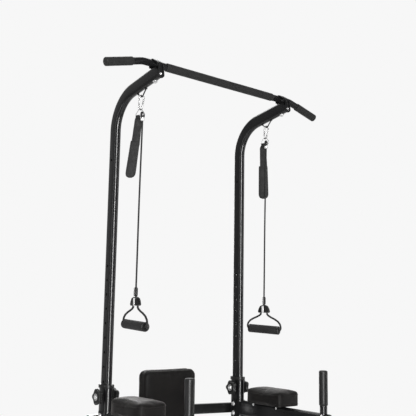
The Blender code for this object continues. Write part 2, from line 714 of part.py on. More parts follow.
def cord_hook(name, foot):
    """Moulded snap hook that closes on the cord's lower end."""
    x, y, end = foot
    profile = [(0, 0), (0.0040, 0), (0.0060, 0.0025), (0.0066, 0.0060), (0.0066, 0.0265),
               (0.0052, 0.0300), (0.0036, HOOK_HEIGHT), (0, HOOK_HEIGHT)]
    return turned("cord_hook_" + name, profile, (x, y, end - FIT - HOOK_HEIGHT), (0, 0, 1), "plastic", 14)


def stirrup(name, foot, grip_z, yaw, pitch):
    """Yoke, the cord triangle under it, and the hollow grip that turns on its lower side."""
    x, y, end = foot
    top = end - 2 * FIT - HOOK_HEIGHT
    along = Vector((math.cos(math.radians(yaw)), math.sin(math.radians(yaw)), 0))
    centre = Vector((x, y, grip_z))
    lean = math.tan(math.radians(pitch))

    def spot(u, w):
        """Point in the stirrup's plane: u along the grip, w above the world's floor."""
        return Vector((x, y, 0)) + along * u + Vector((0, 0, w))

    across = along.cross(Vector((0, 0, 1))).normalized()
    face = [(-0.0080, top), (0.0080, top), (0.0145, top - 0.005), (0.0200, top - 0.015),
            (0.0228, top - 0.025), (0.0205, top - 0.030), (-0.0205, top - 0.030),
            (-0.0228, top - 0.025), (-0.0200, top - 0.015), (-0.0145, top - 0.005)]
    bm = bmesh.new()
    rings = [[bm.verts.new(spot(u, w) + across * v) for u, w in face] for v in (-0.020, 0.020)]
    skin(bm, *rings)
    bm.faces.new(rings[0])
    bm.faces.new(rings[1])
    yoke = add("stirrup_yoke_" + name, bm, "plastic", (x, y, top - YOKE_R))
    # the yoke's top is round about its pivot, so that it clears the hook as it swings
    edge = arc((0, top - YOKE_R), YOKE_R, 0, math.pi, 8)
    edge = [(YOKE_R - 0.0015, top - 0.031), (YOKE_R, top - 0.027), *edge,
            (-YOKE_R, top - 0.027), (0.0015 - YOKE_R, top - 0.031)]
    bm = bmesh.new()
    rings = [[bm.verts.new(spot(u, w) + across * v) for v, w in edge] for u in (-0.030, 0.030)]
    skin(bm, *rings)
    bm.faces.new(rings[0])
    bm.faces.new(rings[1])
    combine(yoke, add("tool", bm, "plastic"), "INTERSECT")
    bm = bmesh.new()
    middle = spot(0, top - 0.0145)
    span = [middle - across * 0.020, middle + across * 0.020]
    sweep(bm, oval(0.007, 0.016, 4), span, along)
    combine(yoke, add("tool", bm, "plastic"), "DIFFERENCE")

    high, bend = top - 0.030 - FIT, 0.008
    # each leg's share of the way out to the grip's end, and of the way down to it
    flare = ((0.19, 0), (0.19, 0.08), (0.26, 0.18), (0.42, 0.29), (0.64, 0.41), (0.84, 0.56),
             (0.96, 0.74), (1, 0.9), (1, 1))
    legs = []
    for way in (-1, 1):
        low = grip_z + lean * way * HALF_GRIP + bend
        leg = [(way * (HALF_GRIP + bend) * out, high + (low - high) * down) for out, down in flare]
        turn = arc((HALF_GRIP, low), bend, 0, -math.pi / 2, 4)[1:]
        legs.append(leg + [(way * u, w) for u, w in turn])
    bottom = [(u, grip_z + lean * u) for u in (-0.040, 0.040)]
    route = legs[0] + bottom + legs[1][::-1]
    path = [spot(u, w) for u, w in route]
    origin = (x, y, top - YOKE_R)
    rod("stirrup_cord_" + name, 0.0036, path, "rubber", 10, across, origin=origin)

    axis = (along + Vector((0, 0, lean))).normalized()
    length = 2 * HALF_GRIP
    bore, outer = 0.0050, STIRRUP_GRIP_R
    profile = [(outer - 0.002, 0), (outer, 0.002), (outer, length - 0.002), (outer - 0.002, length),
               (bore, length), (bore, 0)]
    turned("stirrup_grip_" + name, profile, centre - axis * HALF_GRIP, axis, "foam", 20)


def build():
    """Make every piece of the tower."""
    clear_scene()
    floor_crossbar()
    crossbar()
    back_pad()
    pull_up_bar()
    bar_grip_centre()
    for name, side in SIDES:
        base_rail(name, side)
        foot_cap("front_" + name, side, -1)
        foot_cap("rear_" + name, side, 1)
        for make in (post, brace, collar, dip_arm, dip_handle, dip_grip, arm_pad, arm_pad_plate):
            make(name, side)
        lock_knob(name, side, 1)
        lock_knob(name, side, -1)
        for make in (upright, bar_grip, bar_clamp, carabiner, ring, hand_strap):
            make(name, side)
    for name, facts in HANGING.items():
        cord_loop(name, facts["side"], facts["along"])
        elastic_cord(name, facts)
        cord_hook(name, facts["foot"])
        stirrup(name, facts["foot"], facts["grip_z"], facts["yaw"], facts["pitch"])


build()
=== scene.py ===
"""Looks of a power tower with hanging elastic cords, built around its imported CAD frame.
Metres, in the frame's own axes: +Z up, and the user faces +Y."""
import random
from math import acos, atan2, copysign, cos, hypot, pi, radians, sin, sqrt, tan

import bmesh
import bpy
from mathutils import Matrix, Vector, noise
from mathutils.bvhtree import BVHTree


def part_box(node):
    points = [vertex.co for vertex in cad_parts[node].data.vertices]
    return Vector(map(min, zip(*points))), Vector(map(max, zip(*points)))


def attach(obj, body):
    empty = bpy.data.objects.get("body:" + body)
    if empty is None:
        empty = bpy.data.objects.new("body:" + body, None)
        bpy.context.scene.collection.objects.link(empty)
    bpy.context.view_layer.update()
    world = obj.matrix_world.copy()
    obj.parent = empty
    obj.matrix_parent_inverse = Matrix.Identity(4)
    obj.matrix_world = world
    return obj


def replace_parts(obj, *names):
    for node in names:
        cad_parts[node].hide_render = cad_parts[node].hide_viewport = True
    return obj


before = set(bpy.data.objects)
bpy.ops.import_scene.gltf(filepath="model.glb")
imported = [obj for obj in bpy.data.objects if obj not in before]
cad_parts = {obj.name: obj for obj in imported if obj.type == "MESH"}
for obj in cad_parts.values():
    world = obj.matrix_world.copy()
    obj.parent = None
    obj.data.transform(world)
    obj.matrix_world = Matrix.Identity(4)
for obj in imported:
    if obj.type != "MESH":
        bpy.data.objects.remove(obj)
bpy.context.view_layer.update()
SIDES = (("left", -1), ("right", 1))
UP = Vector((0, 0, 1))

# Repeated from part.py: the free cords' ends, and the hanging hardware
RING_YAW = radians(-70)
RING_WIRE, RING_FLAT = 0.0014, 0.0265   # radius, and from the ring's top wire down to its flat side
CORD_R = 0.003
HOOK_HEIGHT, HALF_GRIP, STIRRUP_GRIP_R = 0.0315, 0.065, 0.016
HANGING = {
    "left": {"along": 0.0115, "foot": (-0.2983, -0.0146, 1.4730),
             "grip_z": 1.3463, "yaw": -90, "pitch": -3.8, "clip": 0.0010},
    "right": {"along": 0.0045, "foot": (0.2945, -0.0102, 1.4570),
              "grip_z": 1.3320, "yaw": -73, "pitch": -3.1, "clip": -0.0014},
}
FERRULE_Z = 2.0485
# how far each strap's foot drifts sideways, its facing in degrees, its sleeve's fullness,
# and how far its foot hangs behind its top
STRAP_LAY = {"left": (-0.0225, -38, 1.06, 0.0), "right": (0.0046, -50, 1.18, 0.018)}
BAR_DROP = radians(15.2)
BAR_STRAIGHT, BAR_R = 0.351, 0.0124
POST_Y, BEND_Z, BEND_R, BEND = 0.150, 2.044, 0.130, radians(80.7)
ARM_TIP_Y, UPRIGHT = -0.127, (0.025, 0.050)
KNOB_Z, HOLE_PITCH = 1.100, 0.050
LOCK_HOLE_R, TOP_HOLE_Z, TUBE_WALL = 0.0045, 1.934, 0.002
APEX = (-0.017, 2.1396)           # Y and Z of the hanger loop's lowest point
HANGER_X, HANGER_ROD_R = 0.300, 0.0023
HANGER_FEET = ((-0.0430, 2.1588), (0.0085, 2.1508))   # Y and Z where the hanger loop meets the arm

# Soft shading across edges flatter than this, in degrees
CAD_EDGE, CLAMP_EDGE, PAD_EDGE = 38, 40, 50
WIRE_GROWTH = 0.0007              # the plated wire is drawn this much fuller than the CAD's
WELT_R, WELT_REACH = 0.0011, 0.010


def centre_of(node):
    """Middle of a CAD node's box."""
    low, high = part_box(node)
    return (low + high) / 2


# ---- camera, light, floor


def camera():
    """A camera in front of the tower and to its left, looking slightly up."""
    data = bpy.data.cameras.new("camera")
    data.lens, data.sensor_width = 59.48, 36
    obj = bpy.data.objects.new("camera", data)
    turn = Matrix.Rotation(radians(-38.556), 4, "Z")
    turn = turn @ Matrix.Rotation(radians(98.726), 4, "X")
    turn = turn @ Matrix.Rotation(radians(0.882), 4, "Z")
    obj.matrix_world = Matrix.Translation((-1.5605, -1.9793, 1.3888)) @ turn
    bpy.context.collection.objects.link(obj)
    bpy.context.scene.camera = obj


def area_light(name, place, target, size, power):
    """Rectangular lamp that faces a target."""
    data = bpy.data.lights.new(name, "AREA")
    data.shape, data.size, data.size_y, data.energy = "RECTANGLE", size[0], size[1], power
    obj = bpy.data.objects.new(name, data)
    aim = (Vector(target) - Vector(place)).to_track_quat("-Z", "Y")
    obj.matrix_world = Matrix.Translation(place) @ aim.to_matrix().to_4x4()
    bpy.context.collection.objects.link(obj)


def rgba(colour):
    """Opaque colour from three values, or a grey from one."""
    return (*colour, 1) if isinstance(colour, tuple) else (colour, colour, colour, 1)


def two_colours(tree, low, high, start, end):
    """Colour ramp from one colour to another."""
    ramp = tree.nodes.new("ShaderNodeValToRGB")
    for stop, place, colour in zip(ramp.color_ramp.elements, (start, end), (low, high)):
        stop.position, stop.color = place, rgba(colour)
    return ramp


def studio():
    """Pale room: bright behind the tower, dimmer in front of it, with tall strip lamps."""
    world = bpy.data.worlds.new("studio")
    bpy.context.scene.world = world
    world.use_nodes = True
    tree = world.node_tree
    tree.nodes.clear()
    add, link = tree.nodes.new, tree.links.new
    out = add("ShaderNodeOutputWorld")
    mix = add("ShaderNodeMixShader")
    seen = add("ShaderNodeBackground")
    seen.inputs["Color"].default_value = (0.93, 0.93, 0.93, 1)
    cast = add("ShaderNodeBackground")
    rays = add("ShaderNodeLightPath")
    where = add("ShaderNodeTexCoord")
    facing = add("ShaderNodeVectorMath")
    facing.operation = "DOT_PRODUCT"
    facing.inputs[1].default_value = (0.62, 0.78, 0.10)
    ramp = two_colours(tree, 0.16, 0.93, 0.30, 0.95)
    link(where.outputs["Generated"], facing.inputs[0])
    link(facing.outputs["Value"], ramp.inputs["Fac"])
    link(ramp.outputs["Color"], cast.inputs["Color"])
    link(rays.outputs["Is Camera Ray"], mix.inputs["Fac"])
    link(cast.outputs[0], mix.inputs[1])
    link(seen.outputs[0], mix.inputs[2])
    link(mix.outputs[0], out.inputs["Surface"])
    area_light("strip_front", (-2.3, -3.2, 1.9), (0, 0.1, 1.5), (0.42, 3.2), 170)
    area_light("strip_right", (2.8, -2.2, 1.7), (0, 0.1, 1.6), (0.30, 3.0), 22)
    area_light("strip_left", (-3.4, 0.9, 1.7), (0, 0.1, 1.5), (0.35, 3.0), 14)
    area_light("softbox_top", (0.4, 1.5, 4.4), (0, 0.1, 1.1), (2.0, 1.6), 42)
    area_light("strip_rear", (1.4, 3.4, 1.8), (0, 0.1, 1.4), (0.40, 3.0), 25)
    bpy.context.scene.view_settings.view_transform = "Standard"


def floor(mat):
    """Plain pale floor under the tower."""
    bm = bmesh.new()
    bmesh.ops.create_circle(bm, cap_ends=True, radius=2.2, segments=96)
    obj = new_object("floor", bm, mat)


# ---- materials


class Shader:
    """A Principled material under construction, textured in metres of object space."""

    def __init__(self, name, colour, roughness, metallic=0.0, specular=0.5):
        self.mat = bpy.data.materials.new(name)
        self.mat.use_nodes = True
        self.tree = self.mat.node_tree
        self.bsdf = self.tree.nodes["Principled BSDF"]
        self.set(Base_Color=rgba(colour), Roughness=roughness, Metallic=metallic, Specular_IOR_Level=specular)
        self.coord = self.node("ShaderNodeTexCoord").outputs["Object"]
        self.height = None

    def node(self, kind, **values):
        """Add a node; keyword values go to its sockets, with spaces for underscores."""
        made = self.tree.nodes.new(kind)
        for key, value in values.items():
            made.inputs[key.replace("_", " ")].default_value = value
        return made

    def link(self, a, b):
        self.tree.links.new(a, b)

    def mapped(self, scale=(1, 1, 1), turn=(0, 0, 0)):
        """Object coordinates, scaled and turned."""
        mapping = self.node("ShaderNodeMapping", Scale=scale, Rotation=turn)
        self.link(self.coord, mapping.inputs["Vector"])
        return mapping.outputs["Vector"]

    def noise(self, scale, detail=3.0, vector=None):
        tex = self.node("ShaderNodeTexNoise", Scale=scale, Detail=detail)
        self.link(vector or self.coord, tex.inputs["Vector"])
        return tex.outputs["Fac"]

    def cells(self, scale, feature="F1"):
        tex = self.node("ShaderNodeTexVoronoi", Scale=scale)
        tex.feature = feature
        self.link(self.coord, tex.inputs["Vector"])
        return tex.outputs["Distance"]

    def waves(self, scale, vector, direction):
        tex = self.node("ShaderNodeTexWave", Scale=scale)
        tex.bands_direction = direction
        self.link(vector, tex.inputs["Vector"])
        return tex.outputs["Fac"]

    def spread(self, value, low, high, start=0.3, end=0.7):
        """Map a texture's value onto a range of numbers."""
        made = self.node("ShaderNodeMapRange", From_Min=start, From_Max=end, To_Min=low, To_Max=high)
        self.link(value, made.inputs["Value"])
        return made.outputs["Result"]

    def colours(self, value, low, high, start=0.3, end=0.7):
        """Base colour that follows a texture from one colour to another."""
        ramp = two_colours(self.tree, low, high, start, end)
        self.link(value, ramp.inputs["Fac"])
        self.link(ramp.outputs["Color"], self.bsdf.inputs["Base Color"])

    def rough(self, value, low, high, start=0.3, end=0.7):
        self.link(self.spread(value, low, high, start, end), self.bsdf.inputs["Roughness"])

    def combine(self, a, b, operation):
        """One value from two textures."""
        made = self.tree.nodes.new("ShaderNodeMath")
        made.operation = operation
        self.link(a, made.inputs[0])
        self.link(b, made.inputs[1])
        return made.outputs[0]

    def bump(self, value, strength, distance):
        """Add a bump on top of any that is there."""
        made = self.node("ShaderNodeBump", Strength=strength, Distance=distance)
        self.link(value, made.inputs["Height"])
        if self.height:
            self.link(self.height, made.inputs["Normal"])
        self.height = made.outputs["Normal"]
        self.link(self.height, self.bsdf.inputs["Normal"])

    def set(self, **values):
        for key, value in values.items():
            self.bsdf.inputs[key.replace("_", " ")].default_value = value


def painted_steel(name="painted_steel", coat=0.45, low=0.26, high=0.38):
    """Black powder coat: orange peel, faint cloudiness and small rubbed specks."""
    s = Shader(name, (0.006, 0.006, 0.0065), 0.34, specular=0.4)
    cloud = s.noise(14, 4)
    specks = s.cells(160)
    s.colours(specks, (0.020, 0.020, 0.022), (0.0050, 0.0050, 0.0056), 0.03, 0.09)
    s.rough(cloud, low, high)
    s.bump(s.noise(900, 2), 0.07, 0.0002)
    s.set(Coat_Weight=coat, Coat_Roughness=0.10)
    return s.mat


def foam(name="grip_foam", shade=0.010):
    """Closed-cell foam: fine open pores and soft, scuffed sheen."""
    s = Shader(name, shade, 0.85)
    pores = s.cells(1100)
    blotch = s.noise(45, 5)
    s.colours(blotch, shade * 0.75, shade * 1.5)
    s.rough(blotch, 0.68, 0.86)
    s.bump(pores, 0.35, 0.0005)
    s.bump(s.noise(260, 3), 0.20, 0.0006)
    s.set(Sheen_Weight=0.06, Sheen_Roughness=0.45)
    return s.mat


def leatherette():
    """Black grained vinyl with a warm cast, polished on the crown of each grain."""
    s = Shader("pad_leatherette", (0.006, 0.005, 0.005), 0.38, specular=0.22)
    grain = s.cells(620, "DISTANCE_TO_EDGE")
    s.colours(s.noise(22, 5), (0.0045, 0.0040, 0.0040), (0.0090, 0.0078, 0.0072))
    s.rough(grain, 0.50, 0.33, 0.02, 0.30)
    s.bump(s.spread(grain, 0, 1, 0.0, 0.16), 0.42, 0.0005)
    s.bump(s.noise(58, 4), 0.30, 0.0016)
    s.set(Sheen_Weight=0.10, Sheen_Roughness=0.30, Sheen_Tint=(0.80, 0.70, 0.66, 1))
    return s.mat


def braided():
    """Woven cover of a cord: two crossing sets of fine diagonal threads."""
    s = Shader("cord_cover", 0.010, 0.62)
    one = s.waves(170, s.mapped(turn=(0.6, 0.6, 0)), "Z")
    two = s.waves(170, s.mapped(turn=(-0.6, -0.6, 0)), "Z")
    weave = s.combine(one, two, "MULTIPLY")
    s.colours(weave, 0.005, (0.024, 0.024, 0.025), 0.1, 0.8)
    s.rough(weave, 0.75, 0.50, 0.1, 0.8)
    s.bump(weave, 0.5, 0.0005)
    s.set(Sheen_Weight=0.2, Sheen_Roughness=0.4)
    return s.mat


def webbing(name="strap_webbing", scale=230, shade=0.0065, turn=0.0):
    """Woven strap: ribs across, with thread rows along."""
    s = Shader(name, shade, 0.7)
    ribs = s.waves(scale, s.mapped(turn=(0, 0, turn)), "Z")
    rows = s.waves(scale * 0.8, s.mapped(turn=(0, 0, turn)), "X")
    weave = s.combine(ribs, rows, "MAXIMUM")
    s.colours(weave, shade * 0.45, shade * 1.9, 0.2, 0.9)
    s.rough(s.noise(90, 3), 0.62, 0.80)
    s.bump(weave, 0.45, 0.0004)
    s.set(Sheen_Weight=0.08, Sheen_Roughness=0.4)
    return s.mat


def moulded(name="moulded_plastic", shade=0.012, low=0.30, high=0.44):
    """Black nylon moulding with a spark-eroded texture."""
    s = Shader(name, shade, 0.4)
    s.colours(s.noise(30, 4), shade * 0.8, shade * 1.3)
    s.rough(s.noise(160, 2), low, high)
    s.bump(s.noise(1500, 2), 0.18, 0.0002)
    return s.mat


def rubber():
    """Matt rubber with a dusty bloom."""
    s = Shader("foot_rubber", 0.016, 0.8)
    s.colours(s.noise(26, 6), 0.011, (0.027, 0.027, 0.026))
    s.rough(s.noise(60, 3), 0.70, 0.90)
    s.bump(s.noise(700, 3), 0.25, 0.0003)
    return s.mat


def plated(name="chrome_hardware", shade=0.80, low=0.24, high=0.40, metallic=0.75):
    """Bright zinc or chrome plating with hairline scratches."""
    s = Shader(name, (shade, shade, shade * 1.01), 0.3, metallic)
    hair = s.noise(60, 6, s.mapped((12, 1, 1), (0.3, 0.2, 0.5)))
    s.rough(hair, low, high)
    s.colours(s.noise(80, 4), shade * 0.85, shade * 1.1)
    s.bump(hair, 0.06, 0.0002)
    return s.mat


def plywood():
    """Sealed plywood: streaked grain along Z."""
    s = Shader("board_wood", (0.28, 0.19, 0.11), 0.6)
    grain = s.noise(30, 8, s.mapped((9, 9, 0.6)))
    s.colours(grain, (0.16, 0.10, 0.055), (0.34, 0.24, 0.15))
    s.rough(grain, 0.5, 0.7)
    s.bump(grain, 0.15, 0.0004)
    return s.mat


def rubber_grip():
    """Dense skinned foam of the dip handles: nearly smooth, with a soft gloss."""
    s = Shader("rubber_grip", 0.007, 0.45)
    blotch = s.noise(40, 4)
    s.colours(blotch, 0.005, 0.010)
    s.rough(blotch, 0.34, 0.48)
    s.bump(s.cells(900), 0.10, 0.0003)
    return s.mat


def thread():
    """Sewing thread, a little lighter than what it holds."""
    s = Shader("thread", 0.05, 0.6)
    ply = s.waves(900, s.mapped(turn=(0.5, 0.5, 0.3)), "Z")
    s.colours(ply, (0.030, 0.030, 0.031), (0.070, 0.068, 0.066), 0.2, 0.8)
    s.bump(ply, 0.4, 0.0002)
    return s.mat


def pale_floor():
    """Plain pale floor with the faintest unevenness."""
    s = Shader("pale_floor", 0.80, 0.6, specular=0.2)
    s.colours(s.noise(1.5, 3), 0.78, 0.82)
    s.rough(s.noise(3, 3), 0.55, 0.7)
    return s.mat


# ---- mesh helpers


def shade(mesh, angle):
    """Smooth shading, except over edges sharper than an angle in degrees."""
    mesh.shade_smooth()
    mesh.set_sharp_from_angle(angle=radians(angle))


def new_object(name, bm, mat, smooth=40):
    """Object from a bmesh in frame coordinates, smooth except over sharp edges."""
    bmesh.ops.recalc_face_normals(bm, faces=bm.faces)
    mesh = bpy.data.meshes.new(name)
    bm.to_mesh(mesh)
    bm.free()
    shade(mesh, smooth)
    mesh.materials.append(mat)
    obj = bpy.data.objects.new(name, mesh)
    bpy.context.collection.objects.link(obj)
    return obj


def piece(name, bm, mat, body, smooth=40):
    """A finished piece in the given material, riding on a body."""
    obj = new_object(name, bm, mat, smooth)
    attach(obj, body)
    return obj


def skin(bm, ring, other):
    """Quads between two rings with the same number of points."""
    for i in range(len(ring)):
        j = (i + 1) % len(ring)
        bm.faces.new((ring[i], ring[j], other[j], other[i]))


def loft(bm, rings):
    """Skin along a row of rings, closed at both ends."""
    for ring, other in zip(rings, rings[1:]):
        skin(bm, ring, other)
    bm.faces.new(rings[0])
    bm.faces.new(rings[-1])


def circle(radius, steps=24):
    turns = [2 * pi * i / steps for i in range(steps)]
    return [(radius * cos(a), radius * sin(a)) for a in turns]


def arc(centre, radius, start, end, steps):
    turns = [start + (end - start) * i / steps for i in range(steps + 1)]
    return [(centre[0] + radius * cos(a), centre[1] + radius * sin(a)) for a in turns]


def rounded(width, length, radius, steps=4):
    """Rectangle with rounded corners."""
    points = []
    for k, (sx, sy) in enumerate(((1, 1), (-1, 1), (-1, -1), (1, -1))):
        cx, cy = sx * (width / 2 - radius), sy * (length / 2 - radius)
        points += arc((cx, cy), radius, pi / 2 * k, pi / 2 * (k + 1), steps)
    return points


def stadium(width, length, steps=20):
    """Flat oval: two half circles joined by straight sides."""
    radius, reach = width / 2, (length - width) / 2
    return arc((0, reach), radius, 0, pi, steps) + arc((0, -reach), radius, pi, 2 * pi, steps)


def sweep(bm, outline, path, across, closed=False, sizes=None):
    """Carry an outline along a path, with its first axis along across as far as it can."""
    path, across = [Vector(p) for p in path], Vector(across)
    rings, count = [], len(path)
    for i, point in enumerate(path):
        before = path[i - 1] if i > 0 or closed else point
        after = path[(i + 1) % count] if i < count - 1 or closed else point
        along = (after - before).normalized()
        first = (across - along * across.dot(along)).normalized()
        second = along.cross(first)
        size = sizes[i] if sizes else 1
        rings.append([bm.verts.new(point + (first * u + second * v) * size) for u, v in outline])
    if not closed:
        loft(bm, rings)
        return
    for ring, other in zip(rings, rings[1:] + rings[:1]):
        skin(bm, ring, other)


def revolve(bm, profile, base, axis, steps=32):
    """Surface of revolution from (radius, height) pairs; radius 0 closes it."""
    turn = UP.rotation_difference(Vector(axis).normalized()).to_matrix()
    base, rings = Vector(base), []
    for radius, height in profile:
        outline = circle(radius, steps) if radius else [(0, 0)]
        rings.append([bm.verts.new(base + turn @ Vector((u, v, height))) for u, v in outline])
    for a, b in zip(rings, rings[1:]):
        if len(a) > 1 and len(b) > 1:
            skin(bm, a, b)
            continue
        fan, tip = (a, b[0]) if len(a) > 1 else (b, a[0])
        for k in range(steps):
            bm.faces.new((fan[k], fan[(k + 1) % steps], tip))


def spaced(points, count, closed=False):
    """Even points along a line of them; a closed line returns to its first point."""
    points = points + points[:1] if closed else points
    lengths = [0.0]
    for a, b in zip(points, points[1:]):
        lengths.append(lengths[-1] + (b - a).length)
    out, k = [], 0
    for i in range(count):
        goal = lengths[-1] * i / (count if closed else count - 1)
        while k < len(points) - 2 and lengths[k + 1] < goal:
            k += 1
        share = (goal - lengths[k]) / max(1e-9, lengths[k + 1] - lengths[k])
        out.append(points[k].lerp(points[k + 1], share))
    return out


def spline_points(points, count):
    """Even points on a smooth curve through a few chosen ones."""
    points = [Vector(p) for p in points]
    fine = []
    for i in range(len(points) - 1):
        p0, p1 = points[max(0, i - 1)], points[i]
        p2, p3 = points[i + 1], points[min(len(points) - 1, i + 2)]
        for k in range(24):
            t = k / 24
            fine.append(0.5 * ((2 * p1) + (p2 - p0) * t + (2 * p0 - 5 * p1 + 4 * p2 - p3) * t * t
                               + (3 * p1 - p0 - 3 * p2 + p3) * t ** 3))
    fine.append(points[-1])
    return spaced(fine, count)


# ---- CAD shapes, refined


def bake(obj):
    """Apply all of an object's modifiers."""
    bpy.context.view_layer.update()
    graph = bpy.context.evaluated_depsgraph_get()
    mesh = bpy.data.meshes.new_from_object(obj.evaluated_get(graph))
    obj.modifiers.clear()
    obj.data = mesh


def soften(obj, width, segments, angle):
    """Round off a piece's edges where they are sharper than an angle in degrees."""
    bevel = obj.modifiers.new("soften", "BEVEL")
    bevel.width, bevel.segments, bevel.limit_method = width, segments, "ANGLE"
    bevel.angle_limit = radians(angle)
    bake(obj)


def refine(node, mat, body, bevel, grow):
    """A piece that stands for a CAD node: its shape, smooth, and with soft edges where it has a bevel.
    The CAD object itself is left as it is, and only hidden."""
    obj = bpy.data.objects.new("fine_" + node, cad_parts[node].data.copy())
    bpy.context.collection.objects.link(obj)
    if "custom_normal" in obj.data.attributes:
        obj.data.attributes.remove(obj.data.attributes["custom_normal"])
    obj.data.materials.clear()
    obj.data.materials.append(mat)
    bm = bmesh.new()
    bm.from_mesh(obj.data)
    bmesh.ops.remove_doubles(bm, verts=bm.verts, dist=0.00002)
    bm.normal_update()
    for vert, out in [(v, v.normal.copy()) for v in bm.verts]:
        vert.co += out * grow
    bm.to_mesh(obj.data)
    bm.free()
    if bevel:
        soften(obj, bevel, 2, CAD_EDGE)
    shade(obj.data, CAD_EDGE)
    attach(obj, body)
    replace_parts(obj, node)


def refined_nodes(mats):
    """Everything whose CAD shape is already the real one."""
    steel, rubber = ("paint", "painted_steel"), ("rubber", "foot_rubber")
    plastic, nylon = ("plastic", "moulded_plastic"), ("nylon", "hook_plastic")
    chrome, wire = ("chrome", "chrome_hardware"), ("wire", "chrome_hardware")

    def fine(node, body, finish, bevel):
        grow = WIRE_GROWTH if finish is wire else 0.0
        refine(node, mats[finish[0]], body, bevel, grow)

    fine("floor_crossbar", "base_frame", steel, 0)
    fine("crossbar", "base_frame", steel, 0)
    fine("back_pad_board", "base_frame", ("wood", "board_wood"), 0.001)
    on_base = [(stem, steel, 0) for stem in ("base_rail", "post", "brace", "dip_arm", "dip_handle")]
    on_base += [("arm_pad_plate", steel, 0.0006), ("collar", plastic, 0.0010),
                ("foot_cap_front", rubber, 0), ("foot_cap_rear", rubber, 0)]
    moving = (("lock_knob_outer", "lock_knob_outer", plastic, 0.0012),
              ("lock_knob_inner", "lock_knob_inner", plastic, 0.0012),
              ("carabiner", "carabiner", wire, 0), ("carabiner_gate", "carabiner_gate", wire, 0),
              ("ring", "ring", chrome, 0), ("stirrup_yoke", "stirrup", nylon, 0.0012),
              ("stirrup_cord", "stirrup", ("braid", "cord_cover"), 0))
    for name, _ in SIDES:
        for stem, finish, bevel in on_base:
            fine(stem + "_" + name, "base_frame", finish, bevel)
        for stem, body, finish, bevel in moving:
            fine(stem + "_" + name, body + "_" + name, finish, bevel)
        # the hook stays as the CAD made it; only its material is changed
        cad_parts["cord_hook_" + name].material_slots[0].material = mats["nylon"]


# ---- uprights and bar


def cut(obj, tool):
    """Take a tool's space out of a piece, and remove the tool."""
    boolean = obj.modifiers.new("cut", "BOOLEAN")
    boolean.operation, boolean.solver, boolean.object = "DIFFERENCE", "EXACT", tool
    bake(obj)
    bpy.data.objects.remove(tool)


def arm_tip_z():
    """Height of the arm's tip, straight on from the end of the bend."""
    y, z = arc((POST_Y - BEND_R, BEND_Z), BEND_R, BEND, BEND, 1)[0]
    return z + (y - ARM_TIP_Y) / tan(BEND)


def fine_upright(name, side, mats):
    """Oval tube with a smooth bend and its height holes, and the hanger loop under its arm."""
    low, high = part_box("upright_" + name)
    x = (low.x + high.x) / 2
    path = [(POST_Y, low.z)] + [(POST_Y, 1.2 + 0.844 * i / 6) for i in range(6)]
    path += arc((POST_Y - BEND_R, BEND_Z), BEND_R, 0, BEND, 60)
    path.append((ARM_TIP_Y, arm_tip_z()))
    path = [Vector((x, y, z)) for y, z in path]
    wide, deep = UPRIGHT
    bm = bmesh.new()
    sweep(bm, stadium(wide, deep), path, (1, 0, 0))
    obj = new_object("tube_upright_" + name, bm, mats["paint"])
    bm = bmesh.new()
    past = 0.01                   # the bore runs out past both ends
    reach = [path[0] - Vector((0, 0, past)), *path[1:-1]]
    reach.append(path[-1] + (path[-1] - path[-2]).normalized() * past)
    sweep(bm, stadium(wide - 2 * TUBE_WALL, deep - 2 * TUBE_WALL), reach, (1, 0, 0))
    cut(obj, new_object("bore", bm, mats["paint"]))
    bm = bmesh.new()
    drill = [(0, 0), (LOCK_HOLE_R, 0), (LOCK_HOLE_R, 0.060), (0, 0.060)]
    for z in [KNOB_Z + HOLE_PITCH * i for i in range(-4, 10)] + [TOP_HOLE_Z]:
        revolve(bm, drill, (x - 0.030, POST_Y, z), (1, 0, 0), 28)
    cut(obj, new_object("drill", bm, mats["paint"]))
    shade(obj.data, CAD_EDGE)
    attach(obj, "upper_frame")
    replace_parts(obj, "upright_" + name)

    def underside(y):
        """Height of the arm's lower face."""
        end = path[-2]
        return end.z + (end.y - y) / tan(BEND) - deep / 2 / sin(BEND)

    front, rear, lowest = HANGER_FEET[0][0], HANGER_FEET[1][0], APEX[1] - 2 * HANGER_ROD_R
    legs = [(front, underside(front) + 0.001), (front + 0.002, underside(front) - 0.004)]
    legs += arc((APEX[0], lowest + 0.008), 0.008, radians(225), radians(315), 14)
    legs += [(rear - 0.002, underside(rear) - 0.004), (rear, underside(rear) + 0.001)]
    bm = bmesh.new()
    sweep(bm, circle(HANGER_ROD_R, 18), [Vector((side * HANGER_X, y, z)) for y, z in legs], (1, 0, 0))
    piece("hanger_loop_" + name, bm, mats["paint"], "upper_frame")


def fine_bar(mats):
    """Pull-up bar with smoothly bent ends."""
    middle, (_, high) = centre_of("bar_grip_centre"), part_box("pull_up_bar")
    radius = 0.080                # of the bends
    centre = (BAR_STRAIGHT - radius * tan(BAR_DROP / 2), middle.z - radius)
    half = arc(centre, radius, pi / 2, pi / 2 - BAR_DROP, 16)
    tip_x = high.x - BAR_R * sin(BAR_DROP)
    half.append((tip_x, middle.z - (tip_x - BAR_STRAIGHT) * tan(BAR_DROP)))
    path = [Vector((-x, middle.y, z)) for x, z in reversed(half)]
    path += [Vector((x, middle.y, z)) for x, z in half]
    bm = bmesh.new()
    sweep(bm, circle(BAR_R, 40), path, (0, 1, 0))
    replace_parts(piece("tube_bar", bm, mats["satin"], "upper_frame"), "pull_up_bar")


